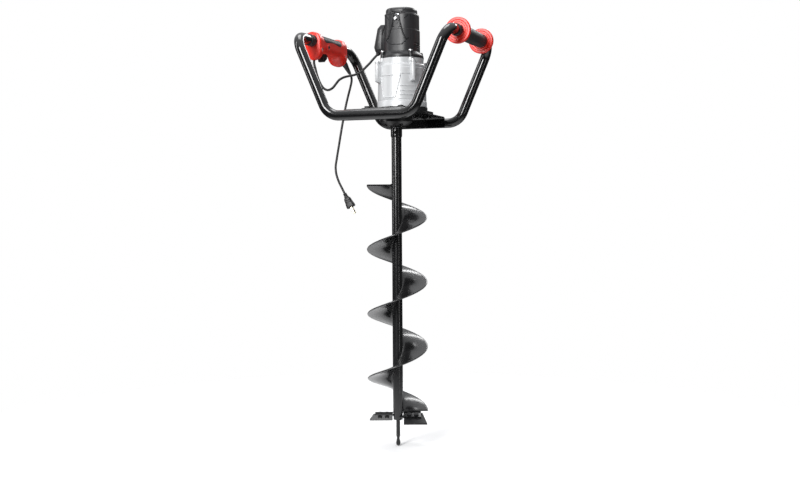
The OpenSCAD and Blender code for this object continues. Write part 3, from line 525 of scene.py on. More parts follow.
# %% Turn a profile round the z axis
def turned(profile, sides=64, step=15):
    """Revolve (r, z) or (r, z, corner radius) points; r of 0 closes on the axis."""
    corners = [Vector((p[0], p[1], 0)) for p in profile]
    radii = [p[2] if len(p) > 2 else 0 for p in profile[1:-1]]
    line = supported(rounded(corners, radii, step), 0.0008)
    points, faces, rows = [], [], []
    for p in line:
        if p.x < 1e-7:
            points.append(Vector((0, 0, p.y)))
            rows.append([len(points) - 1] * sides)
        else:
            rows.append(list(range(len(points), len(points) + sides)))
            points += [Vector((p.x * math.cos(math.tau * k / sides),
                               p.x * math.sin(math.tau * k / sides), p.y)) for k in range(sides)]
    looped = (Vector(line[0]) - Vector(line[-1])).length < 1e-7
    pairs = list(zip(rows, rows[1:]))
    if looped:
        last = rows[-1]
        points = points[:-sides]
        pairs[-1] = (rows[-2], rows[0])
    for low, high in pairs:
        for k in range(sides):
            j = (k + 1) % sides
            face = list(dict.fromkeys([low[k], low[j], high[j], high[k]]))
            if len(face) > 2:
                faces.append(face)
    return points, faces


def aimed(origin, way):
    """The matrix that stands local +z along way at origin."""
    turn = Vector(way).normalized().to_track_quat("Z", "Y").to_matrix().to_4x4()
    return Matrix.Translation(Vector(origin)) @ turn


# %% [markdown]
# ## The mains cord and the motor lead
# A cord is a fixed length of something bendy, so its route comes first. The mains cord leaves
# the far end of the switch handle through a rubber strain relief, drops and hooks at its plug.
# The motor lead goes from the control box to the handle. Both routes repeat the CAD's points;
# a spline through them gives the centre line, and a tube is swept along that.

# %% Routes
def spline(points, per_span):
    """A Catmull-Rom line through the points."""
    points = [Vector(p) for p in points]
    line = []
    for i in range(len(points) - 1):
        a, b = points[max(i - 1, 0)], points[i]
        c, d = points[i + 1], points[min(i + 2, len(points) - 1)]
        for k in range(per_span):
            t = k / per_span
            line.append(0.5 * (2 * b + (c - a) * t + (2 * a - 5 * b + 4 * c - d) * t * t
                               + (3 * b - a - 3 * c + d) * t ** 3))
    return line + [points[-1]]


def length_of(line):
    return sum((b - a).length for a, b in zip(line, line[1:]))


cord_r = 0.003
relief_root = Vector((-0.184, 0.092, -0.036))
relief_way = Vector((4, 30, -26)).normalized()
relief_tip = relief_root + 0.039 * relief_way
mains_points = [
    relief_tip, relief_tip + 0.010 * relief_way, (-0.180, 0.134, -0.080),
    (-0.183, 0.133, -0.096), (-0.188, 0.129, -0.120), (-0.194, 0.125, -0.150),
    (-0.200, 0.122, -0.185), (-0.206, 0.120, -0.220), (-0.212, 0.119, -0.255),
    (-0.218, 0.118, -0.290), (-0.221, 0.117, -0.312), (-0.219, 0.117, -0.332),
    (-0.212, 0.117, -0.352), (-0.203, 0.118, -0.370), (-0.196, 0.119, -0.384)]
plug_way = Vector((7, 1, -14)).normalized()

lead_root = Vector((-0.0435, -0.009, -0.031))
lead_way = Vector((-28, -12, -33)).normalized()
lead_points = [
    lead_root, lead_root + 0.010 * lead_way, (-0.057, -0.015, -0.047), (-0.064, -0.018, -0.056),
    (-0.072, -0.022, -0.065), (-0.080, -0.026, -0.074), (-0.089, -0.030, -0.081),
    (-0.099, -0.035, -0.086), (-0.111, -0.042, -0.089), (-0.123, -0.050, -0.093),
    (-0.133, -0.056, -0.100), (-0.140, -0.060, -0.110), (-0.148, -0.063, -0.120),
    (-0.159, -0.066, -0.125), (-0.170, -0.069, -0.120), (-0.179, -0.071, -0.106),
    (-0.186, -0.072, -0.088), (-0.191, -0.072, -0.070), (-0.195, -0.071, -0.056),
    (-0.195, -0.071, -0.045)]
mains_line, lead_line = spline(mains_points, 6), spline(lead_points, 6)
print("mains cord", round(length_of(mains_line), 3), "m; motor lead",
      round(length_of(lead_line), 3), "m")

# %% Cord skins
mains_skin, mains_faces = sweep(mains_line, cord_r, 20)
mains = piece("mains_cord_jacket", mains_skin, mains_faces, "mains_cord", sharp=60)
lead_skin, lead_faces = sweep(lead_line, cord_r, 20)
lead = piece("motor_lead_jacket", lead_skin, lead_faces, "motor_lead", sharp=60)

# %% [markdown]
# ## Strain relief, gland and plug
# The strain relief is a soft rubber cone cut by rings so that it bends evenly. The plug is
# moulded on the cord: a ribbed neck, a waisted body with finger grooves and a flat face that
# holds two plated blades.

# %% Strain relief
ring_cuts = []
for i in range(7):
    at = 0.012 + i * 0.0038
    wall = 0.0075 - 0.0031 * max(0, at - 0.008) / 0.031
    ring_cuts += [(wall, at, 0.0003), (wall - 0.0011, at + 0.0007, 0.0003),
                  (wall - 0.0012, at + 0.0019, 0.0003), (wall - 0.0003, at + 0.0026, 0.0003)]
relief_profile = [(0, 0.0), (0.0075, 0.0, 0.0005), (0.0075, 0.009, 0.001), *ring_cuts,
                  (0.0042, 0.039, 0.0008), (0, 0.039)]
relief_part = moved(turned(relief_profile, 40), aimed(relief_root, relief_way))
piece("strain_relief_cone", *relief_part, "strain_relief", sharp=50)

# %% Lead gland
gland_profile = [(0, -0.002), (0.0055, -0.002), (0.0055, 0.0035, 0.0006), (0.0047, 0.0042, 0.0003),
                 (0.0047, 0.006, 0.0006), (0.0032, 0.006), (0, 0.006)]
piece("lead_gland_nut", *moved(turned(gland_profile, 40), aimed(lead_root, lead_way)),
      "lead_gland", sharp=50)

# %% Plug body
def plug_ring(half_x, half_y, height, corner, count=12):
    """A rounded rectangle ring of the plug at one height."""
    ring = []
    corner = min(corner, half_x, half_y)
    for cx, cy, start in ((1, 1, 0), (-1, 1, 90), (-1, -1, 180), (1, -1, 270)):
        for i in range(count):
            a = math.radians(start + 90 * i / (count - 1))
            ring.append(Vector((cx * (half_x - corner) + corner * math.cos(a),
                                cy * (half_y - corner) + corner * math.sin(a), height)))
    return ring


plug_frame = aimed(mains_points[-1], plug_way)
plug_levels = [(4.2, 4.2, 0), (5.0, 5.0, 0.8), (5.0, 5.0, 2.2), (4.3, 4.3, 2.8), (4.3, 4.3, 4.0),
               (5.1, 5.2, 4.6), (5.1, 5.2, 6.2), (4.4, 4.5, 6.8), (4.5, 4.6, 8.0), (5.4, 5.8, 8.6),
               (5.6, 6.2, 10.4), (5.0, 5.8, 11.0), (5.4, 6.6, 12.2), (6.6, 8.4, 14.5),
               (7.2, 9.4, 18), (7.3, 9.8, 21.0), (6.9, 9.3, 22.0), (7.4, 10.0, 23.2),
               (7.6, 10.3, 25.6), (7.2, 9.9, 26.5), (7.8, 10.6, 27.8), (8.2, 11.2, 31),
               (8.7, 11.8, 36), (8.8, 11.9, 39), (8.6, 11.7, 40.6), (7.6, 10.8, 41.8),
               (6.6, 9.8, 42.0)]
plug_rings = [plug_ring(a * mm, b * mm, z * mm, (4.2 + min(1.8, z * 0.06)) * mm)
              for a, b, z in plug_levels]
plug_part = moved(skin(plug_rings), plug_frame)
plug = piece("plug_moulding", *plug_part, "plug_body", sharp=50)

# %% Cords swept
print("cord jackets swept")

# %% [markdown]
# ## The bent frame
# Two side tubes carry everything. Each is one length of 25 mm steel tube bent four times, and
# the two straight handle bars are butt-welded between them. A swept circle with a point every
# few degrees of bend gives tubes whose highlights run without a kink.

# %% Side tubes and handle bars
tube_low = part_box("near_side_tube")[0]
bar_low, bar_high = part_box("right_handle_bar")
tube_r = (bar_high.x - bar_low.x) / 2
reach = (bar_high.x + bar_low.x) / 2
bar_half = bar_high.y
depth = -tube_low.y - tube_r
base_z = tube_low.z + tube_r
arm_lean = math.radians(23.5)
corner_x = reach + base_z * math.tan(arm_lean)

top_bend_r, foot_bend_r = 0.042, 0.045
for name, node, sign in (("near_tube", "near_side_tube", -1), ("far_tube", "far_side_tube", 1)):
    corners = [(-reach, sign * bar_half, 0), (-reach, sign * depth, 0),
               (-corner_x, sign * depth, base_z), (corner_x, sign * depth, base_z),
               (reach, sign * depth, 0), (reach, sign * bar_half, 0)]
    line = rounded(corners, [top_bend_r, foot_bend_r, foot_bend_r, top_bend_r], 3)
    piece(name, *sweep(line, tube_r, 56), node, sharp=60)
for name, node, x in (("left_bar", "left_handle_bar", -reach), ("right_bar", "right_handle_bar", reach)):
    line = [(x, -bar_half, 0), (x, -0.05, 0), (x, 0.05, 0), (x, bar_half, 0)]
    piece(name, *sweep(line, tube_r, 56), node, sharp=60)
print("frame tube", round(2000 * tube_r, 1), "mm, reach", round(1000 * reach), "mm")

# %% [markdown]
# ## More tools: slabs, height skins and cuts
# Castings and mouldings need two more shapes. A slab is a flat outline given thickness and
# round edges. A height skin is a stack of rings whose radius is a function of the angle and
# the height, so that ribs, steps and slots are cast into the wall as real relief.

# %% Slab from an outline
def pulled_in(outline, by):
    """A closed 2-D outline moved inwards by a small distance."""
    count = len(outline)
    area = sum(outline[i][0] * outline[(i + 1) % count][1]
               - outline[(i + 1) % count][0] * outline[i][1] for i in range(count))
    way = 1 if area > 0 else -1
    result = []
    for i in range(count):
        a, b, c = (Vector(outline[(i + k) % count]) for k in (-1, 0, 1))
        u, w = (b - a).normalized(), (c - b).normalized()
        n = Vector((-u.y - w.y, u.x + w.x))
        if n.length < 1e-6:
            n = Vector((-u.y, u.x))
        n.normalize()
        lean = max(0.5, n.dot(Vector((-u.y, u.x))))
        result.append(b + n * (way * by / lean))
    return result


def closed_outline(corners, radii):
    """A closed outline with rounded corners, as 2-D points."""
    line = rounded([Vector((*corners[-1], 0)), *[Vector((*c, 0)) for c in corners],
                    Vector((*corners[0], 0))], radii, 8)[1:-1]
    kept = [line[0]]
    for p in line[1:]:
        if (p - kept[-1]).length > 1e-6:
            kept.append(p)
    return [(p.x, p.y) for p in kept]


def slab(outline, low, high, edge=0.0006):
    """An outline extruded from low to high with round edges."""
    rings = []
    for level, inset in ((low, edge), (low + 0.3 * edge, 0.3 * edge), (low + edge, 0),
                         (high - edge, 0), (high - 0.3 * edge, 0.3 * edge), (high, edge)):
        flat = pulled_in(outline, inset) if inset else [Vector(p) for p in outline]
        rings.append([Vector((p.x, p.y, level)) for p in flat])
    return skin(rings)


# %% Skin from a radius that changes with angle and height
def height_skin(rows, sides, about):
    """rows are (z, function of angle giving r); about is the axis point."""
    rings = []
    for z, reach_at in rows:
        rings.append([Vector((about[0] + reach_at(math.tau * k / sides) * math.cos(math.tau * k / sides),
                              about[1] + reach_at(math.tau * k / sides) * math.sin(math.tau * k / sides),
                              z)) for k in range(sides)])
    return skin(rings)


def soft_step(x, low, high):
    """0 below low, 1 above high, smooth between."""
    t = min(1.0, max(0.0, (x - low) / (high - low)))
    return t * t * (3 - 2 * t)


def off_line(x, z, line):
    """Distance from (x, z) to an open line of points."""
    best = 1e9
    for (x0, z0), (x1, z1) in zip(line, line[1:]):
        dx, dz = x1 - x0, z1 - z0
        t = min(1.0, max(0.0, ((x - x0) * dx + (z - z0) * dz) / (dx * dx + dz * dz)))
        best = min(best, math.hypot(x - x0 - t * dx, z - z0 - t * dz))
    return best


def between(profile, z):
    """Straight-line value of a (z, value) table."""
    for (z0, r0), (z1, r1) in zip(profile, profile[1:]):
        if z <= z1:
            return r0 + (r1 - r0) * min(1.0, max(0.0, (z - z0) / (z1 - z0)))
    return profile[-1][1]


# %% Cut one mesh with another, for good
def cut(made, cutters):
    """Subtract closed (points, faces) shapes from a piece and keep only the result."""
    for points, faces in cutters:
        mesh = bpy.data.meshes.new("cutter")
        mesh.from_pydata([tuple(p) for p in points], [], faces)
        facing_out(mesh)
        tool = bpy.data.objects.new("cutter", mesh)
        scene.collection.objects.link(tool)
        less = made.modifiers.new("less", "BOOLEAN")
        less.operation, less.object, less.solver = "DIFFERENCE", tool, "EXACT"
        deps = bpy.context.evaluated_depsgraph_get()
        result = bpy.data.meshes.new_from_object(made.evaluated_get(deps))
        made.modifiers.clear()
        made.data = result
        bpy.data.objects.remove(tool)
        bpy.data.meshes.remove(mesh)
    made.data.shade_smooth()
    made.data.set_sharp_from_angle(angle=math.radians(40))


# %% [markdown]
# ## Gearbox casting
# The gearbox is a pale die casting. Its wall draws in towards the top so that the die lets go,
# and it carries a waisted ridge panel, three short ribs and a step line. Four screw bosses
# stand proud at the corners. The wall is one height skin; each boss is a stack of outlines.

# %% Gearbox measures from the CAD
rotor_low, rotor_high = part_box("rotor_core")
motor_x, motor_y = (rotor_low.x + rotor_high.x) / 2, (rotor_low.y + rotor_high.y) / 2
case_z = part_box("gearbox_housing")[0].z
shoulder_z = case_z + 0.109
flange_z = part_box("gearbox_cover")[1].z
case_profile = [(0, 62.0), (0.6, 62.5), (13.6, 62.5), (14.4, 61.8), (15.2, 61.6), (103.5, 59.3),
                (105.5, 58.7), (107, 57.9), (108.2, 56.7), (109, 55.0)]
print("motor axis x", round(motor_x, 4), "case from", round(case_z, 4), "to", round(shoulder_z, 4))


# %% Relief on the wall
def quarter_turn(quarter):
    """The matrix from a corner on +x to one of the four corners round the motor axis."""
    return (Matrix.Translation((motor_x, motor_y, 0))
            @ Matrix.Rotation(math.radians(45 + 90 * quarter), 4, "Z"))


def wall_relief(angle, h):
    """How far the relief stands out of the wall, in mm."""
    out_by = 0.0
    for centre in (-102, 78):
        across = (math.degrees(angle) - centre + 180) % 360 - 180
        half = 16.2 + (28.4 - 16.2) * (h - 23) / 55
        frame_line = [(-28.4, 78), (-16.2, 23), (16.2, 23), (28.4, 78), (-28.4, 78)]
        if abs(across) < 34 and 17 < h < 84:
            near = off_line(across * 1.07, h, [(a * 1.07, b) for a, b in frame_line])
            out_by = max(out_by, 1.6 * (1 - soft_step(near, 0.8, 1.5)))
            if abs(across) < half and 23 < h < 78:
                out_by = max(out_by, 0.35)
    for centre in (-56, 124):
        across = abs((math.degrees(angle) - centre + 180) % 360 - 180)
        for level in (29.2, 39.2, 51.6):
            if across < 21:
                near = off_line(across, h, [(0, level), (18, level)])
                out_by = max(out_by, 1.4 * (1 - soft_step(near, 0.8, 1.4)))
    around = (math.degrees(angle) + 73 + 180) % 360 - 180
    if 0 < around < 60 or -180 < around < -120:
        out_by += 1.1 * soft_step(h, 80.9, 81.6) * (1 - soft_step(h, 97, 99))
    out_by -= 0.5 * (1 - soft_step(abs(h - 17.2), 0.5, 1.0))
    return out_by


case_rows = []
levels = sorted({0, 0.3, 0.6, 1.2, 13.4, 13.8, 14.2, 14.6, 15, 15.4,
                 *[16 + 0.62 * i for i in range(143)],
                 104.5, 105.2, 105.9, 106.6, 107.2, 107.8, 108.4, 108.8, 109})
for h in levels:
    radius = between(case_profile, h)
    case_rows.append((case_z + h * mm, lambda a, h=h, radius=radius: (radius + wall_relief(a, h)) * mm))
case_rows.insert(0, (case_z, lambda a: 0.030))
case_rows.append((shoulder_z, lambda a: 0.030))
case_part = height_skin(case_rows, 560, (motor_x, motor_y))
print("casting rows:", len(case_rows))

# %% Screw bosses
boss_parts = []
boss_outline = closed_outline([(0.0560, -0.0066), (0.0610, -0.0057), (0.0732, -0.0060),
                               (0.0732, 0.0060), (0.0610, 0.0057), (0.0560, 0.0066)],
                              [0.0004, 0.002, 0.0058, 0.0058, 0.002, 0.0004])
for quarter in range(4):
    rings = []
    boss_low, boss_high = shoulder_z - 0.045, shoulder_z + 0.0012
    for z, lean, inset in ((boss_low - 0.0028, 0.0060, 0.0010), (boss_low - 0.0012, 0.0026, 0.0006),
                           (boss_low, 0.0008, 0.0003), (boss_low + 0.0012, 0, 0),
                           (boss_high - 0.0010, 0, 0), (boss_high - 0.0003, 0, 0.0003),
                           (boss_high, 0, 0.0010)):
        flat = pulled_in(boss_outline, inset) if inset else [Vector(p) for p in boss_outline]
        rings.append([Vector((min(p.x, p.x - lean * soft_step(p.x, 0.058, 0.072)), p.y, z))
                      for p in flat])
    boss_parts.append(moved(skin(rings), quarter_turn(quarter)))
piece("gearbox_casting", *join_parts([case_part, *boss_parts]), "gearbox_housing", sharp=38)


# %% [markdown]
# ## Motor shroud
# The motor hides in a nylon shroud: a rounded square tower in three tiers on a screw flange,
# with an hourglass panel framed by ridges on its face. Its section is a superellipse, which
# gives the flat faces and soft corners of such mouldings from one formula.

# %% Shroud section and ridges
def rounded_square(angle, reach_mm, squareness=2.8):
    """Radius of a superellipse at an angle, in mm."""
    c, s = abs(math.cos(angle)), abs(math.sin(angle))
    return reach_mm / (c ** squareness + s ** squareness) ** (1 / squareness)


def eared(angle, plain_mm):
    """A disc with four screw ears, in mm."""
    across = abs((math.degrees(angle) - 45 + 45) % 90 - 45)
    side = 53 * math.sin(math.radians(across))
    if abs(side) >= 6.5:
        return plain_mm
    ear = 53 * math.cos(math.radians(across)) + math.sqrt(6.5 ** 2 - side ** 2)
    return max(plain_mm, ear)


waist_line = [(7.0, 60.5), (8.0, 53), (11.0, 37), (18.5, 12), (24.0, 0.5), (31.0, -3.5)]
hem_line = [(0, -16.2), (14.0, -16.2), (37.0, -0.8)]
flick_line = [(22.0, 47.0), (35.0, 56.5)]


def groove(near, half, depth):
    """A cut of a given half width and depth, by distance from its line."""
    return -depth * (1 - soft_step(near, half, half + 0.55))


def shroud_relief(angle, z):
    """Ridges and grooves on the shroud, in mm."""
    c, s = math.cos(angle), math.sin(angle)
    corner = (math.degrees(angle) + 45 + 180) % 360 - 180
    out_by = 0.0
    if abs(corner - 4) < 0.9 or abs(abs(corner - 4) - 180) < 0.9:
        out_by -= 1.1
    if abs(s) < 0.62:
        x = 41.5 * s / max(abs(c), 0.3)
        for level in (-22, -17, -12):
            if abs(x) < 24 and c > 0:
                out_by += groove(off_line(abs(x), z, [(0, level), (19, level)]), 0.9, 1.2)
        return out_by
    x = abs(41.5 * c / max(abs(s), 0.3))
    half = between([(-16, 34), (-3, 31), (0.5, 24), (12, 18.5), (37, 11), (53, 8), (61, 7)], z)
    inside = x < half and z > -16 + 15.4 * max(0, (x - 14) / 23)
    if inside:
        out_by -= 0.5
    out_by += 1.5 * (1 - soft_step(off_line(x, z, waist_line), 0.6, 1.2))
    out_by += groove(off_line(x + 2.2, z, waist_line), 0.5, 1.2) if inside else 0
    out_by += groove(off_line(x, z, hem_line), 0.8, 1.8)
    out_by += groove(off_line(x, z, flick_line), 0.6, 1.6)
    out_by += groove(off_line(x, z, [(6, 27), (11, 30), (14, 28)]), 0.5, 0.8)
    out_by += groove(math.hypot(x, z - 41.6) - 5.2 if math.hypot(x, z - 41.6) > 5.2 else 0, 0.2, 0.7)
    return out_by


# %% Shroud rings
shroud_rows = [(flange_z + 0.0002, lambda a: 0.030)]
for z, inset in ((0.0, 0.6), (0.2, 0.2), (0.6, 0), (7.3, 0), (7.8, 0.2), (8.0, 0.7)):
    shroud_rows.append((flange_z + z * mm, lambda a, inset=inset: (eared(a, 53.5) - inset) * mm))
for z, share in ((8.2, 0.0), (9.0, 0.10), (10.5, 0.32), (12.5, 0.60), (14.5, 0.84), (16.4, 0.97),
                 (17.6, 1.0)):
    shroud_rows.append((flange_z + z * mm, lambda a, share=share:
                        (52.6 * (1 - share) + share * rounded_square(a, 42.5)) * mm))
shroud_levels = [-30.8 + 0.55 * i for i in range(96)] + [21.4, 21.8, 22.2, 22.7, 23.2] \
    + [23.8 + 0.6 * i for i in range(61)] + [60.2, 60.6]
for z in shroud_levels:
    reach_mm = 42.5 - 1.2 * soft_step(z, 21.6, 22.9) - 0.004 * (z + 31)
    edge = 0.7 * soft_step(z, 59.6, 60.9)
    shroud_rows.append((z * mm, lambda a, z=z, r=reach_mm, e=edge:
                        (rounded_square(a, r) + shroud_relief(a, z) - e) * mm))
shroud_rows.append((0.0607, lambda a: 0.030))
shroud_part = height_skin(shroud_rows, 560, (motor_x + 0.001, motor_y))

ear_parts = []
for quarter in range(4):
    turn = quarter_turn(quarter)
    post = turned([(0, flange_z + 0.004), (0.0055, flange_z + 0.004), (0.0055, flange_z + 0.016, 0.0007),
                   (0, flange_z + 0.016)], 36)
    ear_parts.append(moved(post, turn @ Matrix.Translation((0.053, 0, 0))))
    gusset = slab(closed_outline([(0.040, -0.003), (0.052, -0.002), (0.052, 0.002), (0.040, 0.003)],
                                 [0.0004] * 4), flange_z + 0.006, flange_z + 0.0148, 0.0005)
    ear_parts.append(moved(gusset, turn))
piece("motor_shroud", *join_parts([shroud_part, *ear_parts]), "motor_housing", sharp=38)
print("shroud rows:", len(shroud_rows))


# %% Motor cap with its air slots
def cap_relief(angle, z):
    """Air slots and the flared ridges on the cap, in mm."""
    c, s = math.cos(angle), math.sin(angle)
    if abs(s) < 0.6:
        return 0.0
    x = abs(38 * c / max(abs(s), 0.3))
    ridge = 1.5 * (1 - soft_step(off_line(x, z, [(7, 60), (26, 75.5)]), 0.7, 1.4))
    out_by = ridge - 0.5 * (x < 7 + 19 * (z - 60) / 15.5)
    for level, half in ((66.6, 11.5), (62.9, 6.0)):
        out_by -= 3.2 * (1 - soft_step(off_line(x, z, [(0, level), (half, level)]), 0.85, 1.15))
    return out_by


cap_profile = [(60.9, 41.0), (61.9, 41.1), (62.3, 40.8), (63.8, 38.6), (64.4, 38.2), (72.6, 37.7),
               (74.5, 36.9), (76.4, 35.4), (77.4, 34.2), (77.9, 33.0), (78.0, 32.2)]
cap_levels = [60.9, 61.3, 61.7, 62.0, 62.3] + [62.6 + 0.3 * i for i in range(50)] + [77.6, 77.8, 77.9, 78.0]
cap_rows = [(0.0609, lambda a: 0.028)]
for z in cap_levels:
    r = between(cap_profile, z)
    cap_rows.append((z * mm, lambda a, z=z, r=r: (rounded_square(a, r, 2.6) + cap_relief(a, z)) * mm))
cap_rows.append((0.078, lambda a: 0.0295))
cap_rows.append((0.0772, lambda a: 0.0288))
cap_rows.append((0.0772, lambda a: 0.012))
piece("motor_crown", *height_skin(cap_rows, 480, (motor_x, motor_y)), "motor_cap", sharp=38)

# %% [markdown]
# ## Control box
# A slim box on the left of the motor holds the switch electronics. It is a wedge with soft
# corners, a parting line and a raised panel on each side, and the lead to the handle leaves
# its foot.

# %% Box slab
box_x, box_z = motor_x - 0.0445, flange_z + 0.018
box_outline = closed_outline([(box_x + 0.008, box_z), (box_x - 0.0185, box_z),
                              (box_x - 0.0215, box_z + 0.004), (box_x - 0.0245, box_z + 0.014),
                              (box_x - 0.015, box_z + 0.061), (box_x - 0.006, box_z + 0.070),
                              (box_x + 0.008, box_z + 0.070)],
                             [0.0004, 0.002, 0.003, 0.005, 0.006, 0.004, 0.0004])
flat_box = slab(box_outline, -0.018, 0.018, 0.0022)
stand_up = Matrix(((1, 0, 0, 0), (0, 0, -1, 0), (0, 1, 0, 0), (0, 0, 0, 1)))
lid_line = closed_outline([(box_x - 0.004, box_z + 0.008), (box_x - 0.017, box_z + 0.008),
                           (box_x - 0.020, box_z + 0.014), (box_x - 0.0125, box_z + 0.054),
                           (box_x - 0.006, box_z + 0.060), (box_x - 0.002, box_z + 0.060)],
                          [0.002] * 6)
lid_near = moved(slab(lid_line, 0.0178, 0.0192, 0.0005), stand_up)
lid_far = moved(slab(lid_line, -0.0192, -0.0178, 0.0005), stand_up)
seam = slab(pulled_in(box_outline, -0.0005), -0.0006, 0.0006, 0.0003)
piece("control_case", *join_parts([moved(flat_box, stand_up), lid_near, lid_far, moved(seam, stand_up)]),
      "control_box", sharp=38)

# %% [markdown]
# ## Switch handle
# The left handle is two nylon half shells screwed round the tube: a slim body to hold, a lobe
# at each end, a trigger below and a lock button on the side. A rounded box section is lofted
# along the handle, split down the middle, and the openings are cut out of the result.

# %% Handle section along its length
hand_x = -reach
body_table = [(-80, 21.0, 22.0, -45.0, 20), (-79, 22.4, 23, -47.4, 21.5), (-77.5, 23, 23, -48, 22.4),
              (-65, 23, 23, -48, 22.4), (-63.4, 22.8, 22.8, -47.4, 22), (-62.2, 22.2, 21.6, -44.5, 20.5),
              (-61.4, 21.6, 19.4, -40, 19.5), (-59.5, 21.2, 17.4, -35, 18), (-57, 21, 16.4, -31, 15.5),
              (-52, 21, 16, -28.6, 14), (-46, 21, 16, -28, 14), (40, 21, 16, -28, 14),
              (48, 21, 16.2, -28.8, 14.4), (54, 21.2, 16.9, -31.2, 15.6), (59, 21.6, 18.2, -35, 17.5),
              (63, 22.2, 20.2, -40, 19.5), (67, 22.8, 22.2, -45, 21.6), (71, 23, 23, -47.6, 22.3),
              (74, 23, 23, -48, 22.4), (87, 23, 23, -48, 22.4), (89.6, 22.4, 22.4, -47, 21.8),
              (91.3, 21, 21, -44.6, 20.4), (92, 19, 19, -42, 18.4)]


def handle_at(y_mm):
    """Half width, top, bottom and corner radius of the handle at y, in mm."""
    for a, b in zip(body_table, body_table[1:]):
        if y_mm <= b[0]:
            t = (y_mm - a[0]) / (b[0] - a[0])
            return [a[i] + (b[i] - a[i]) * t for i in range(1, 5)]
    return list(body_table[-1][1:])


def handle_half(y_mm, side, proud=0.0, count=11):
    """Half a rounded box section from the top middle to the bottom middle, in mm."""
    wide, top, low, corner = handle_at(y_mm)
    wide, top, low, corner = wide + proud, top + proud, low - proud, corner + proud
    corner = min(corner, wide - 0.01, (top - low) / 2 - 0.01)
    ring = [(0.0, top), ((wide - corner) * 0.5, top)]
    for cz, start in ((top - corner, 90), (low + corner, 0)):
        for i in range(count):
            a = math.radians(start - 90 * i / (count - 1))
            ring.append((wide - corner + corner * math.cos(a), cz + corner * math.sin(a)))
        if start == 90:
            for t in (0.25, 0.5, 0.75):
                ring.append((wide, top - corner + (low + corner - top + corner) * t))
    ring += [((wide - corner) * 0.5, low), (0.0, low)]
    return [(side * x, z) for x, z in ring]


handle_levels = sorted({*[row[0] for row in body_table], *[-46 + 4 * i for i in range(22)],
                        *[-61.8, -60.5, -58.3, 51, 56.5, 61, 65, 69, 72.5, 88.5, 90.6]})


def half_shell(side):
    """One closed half of the handle, with a hair of a gap at the seam."""
    gap = 0.00012 * side
    rings = [[Vector((hand_x + x * mm + gap, y * mm, z * mm)) for x, z in handle_half(y, side)]
             for y in handle_levels]
    return skin(rings)


# %% Openings in the handle
trigger_low, trigger_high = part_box("trigger")
button_low, button_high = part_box("lock_button")
button_z, button_y = (button_low.z + button_high.z) / 2, (button_low.y + button_high.y) / 2
slot_outline = closed_outline([(trigger_low.x - 0.0007, trigger_low.y - 0.0008),
                               (trigger_high.x + 0.0007, trigger_low.y - 0.0008),
                               (trigger_high.x + 0.0007, trigger_high.y + 0.0008),
                               (trigger_low.x - 0.0007, trigger_high.y + 0.0008)], [0.002] * 4)
slot_cut = slab(slot_outline, -0.060, -0.0150, 0.0001)
button_seat_x = hand_x + 0.0145
lie_along_x = aimed((button_seat_x, button_y, button_z), (1, 0, 0))
button_cut = moved(turned([(0, -0.0048), (0.0049, -0.0048), (0.0049, 0.03), (0, 0.03)], 40), lie_along_x)

half_names = (("switch_half_inner", "switch_shell_inner", 1), ("switch_half_outer", "switch_shell_outer", -1))
for name, node, side in half_names:
    half = piece(name, *half_shell(side), node, sharp=40)
    cut(half, [slot_cut, button_cut] if side == 1 else [slot_cut])
print("handle halves cut")

# %% Trim on the handle: button ring and screw wells
ring_part = moved(turned([(0.0050, 0.0052), (0.0050, 0.0085, 0.0006), (0.0072, 0.0085, 0.0010),
                          (0.0078, 0.0052), (0.0050, 0.0052)], 48), lie_along_x)
screw_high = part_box("shell_screws")[1]
well_parts = [ring_part]
for y in (-0.071, 0.078):
    place_well = aimed((screw_high.x - 0.0004, y, -0.022), (1, 0, 0))
    well_parts.append(moved(turned([(0.0043, -0.004), (0.0043, 0.0006, 0.0003), (0.0056, 0.0004, 0.0006),
                                    (0.0064, -0.004), (0.0043, -0.004)], 40), place_well))
piece("switch_trim_rings", *join_parts(well_parts), "switch_shell_inner", sharp=40)

# %% Trigger
trigger_outline = closed_outline([(trigger_low.y, trigger_high.z), (trigger_low.y, trigger_low.z + 0.012),
                                  (trigger_low.y + 0.0030, trigger_low.z + 0.001),
                                  (trigger_low.y + 0.0085, trigger_low.z),
                                  (trigger_high.y - 0.0070, trigger_low.z + 0.006),
                                  (trigger_high.y - 0.0004, trigger_low.z + 0.010),
                                  (trigger_high.y, trigger_high.z)],
                                 [0.0006, 0.006, 0.003, 0.004, 0.010, 0.003, 0.0006])
lay_yz = Matrix(((0, 0, 1, (trigger_low.x + trigger_high.x) / 2), (1, 0, 0, 0), (0, 1, 0, 0), (0, 0, 0, 1)))
half_trigger = (trigger_high.x - trigger_low.x) / 2
piece("trigger_lever", *moved(slab(trigger_outline, -half_trigger, half_trigger, 0.0022), lay_yz),
      "trigger", sharp=50)

# %% Lock button
button_foot, button_top = button_low.x - button_seat_x, button_high.x - button_seat_x
button_part = turned([(0, button_foot), (0.0044, button_foot), (0.0044, button_top - 0.0008, 0.0005),
                      (0.0036, button_top, 0.0006), (0.0028, button_top - 0.0005, 0.0008),
                      (0, button_top - 0.0007)], 48)
piece("lock_button_cap", *moved(button_part, lie_along_x), "lock_button", sharp=50)

# %% [markdown]
# ## Rubber inlay
# A soft rubber panel is moulded into the top of the handle and wraps over its inner side. It
# follows the handle's own section, a little proud, with its border pressed into the nylon and
# rows of small ribs across it for grip.

# %% Inlay patch
def along_section(y_mm, travel, proud):
    """A point on the section, travel mm from the top middle; positive goes to the inner side."""
    side = 1 if travel >= 0 else -1
    line = [Vector(p) for p in handle_half(y_mm, side, proud, 17)]
    left_to_go = abs(travel)
    for a, b in zip(line, line[1:]):
        span = (b - a).length
        if left_to_go <= span:
            return a + (b - a) * (left_to_go / span)
        left_to_go -= span
    return line[-1]


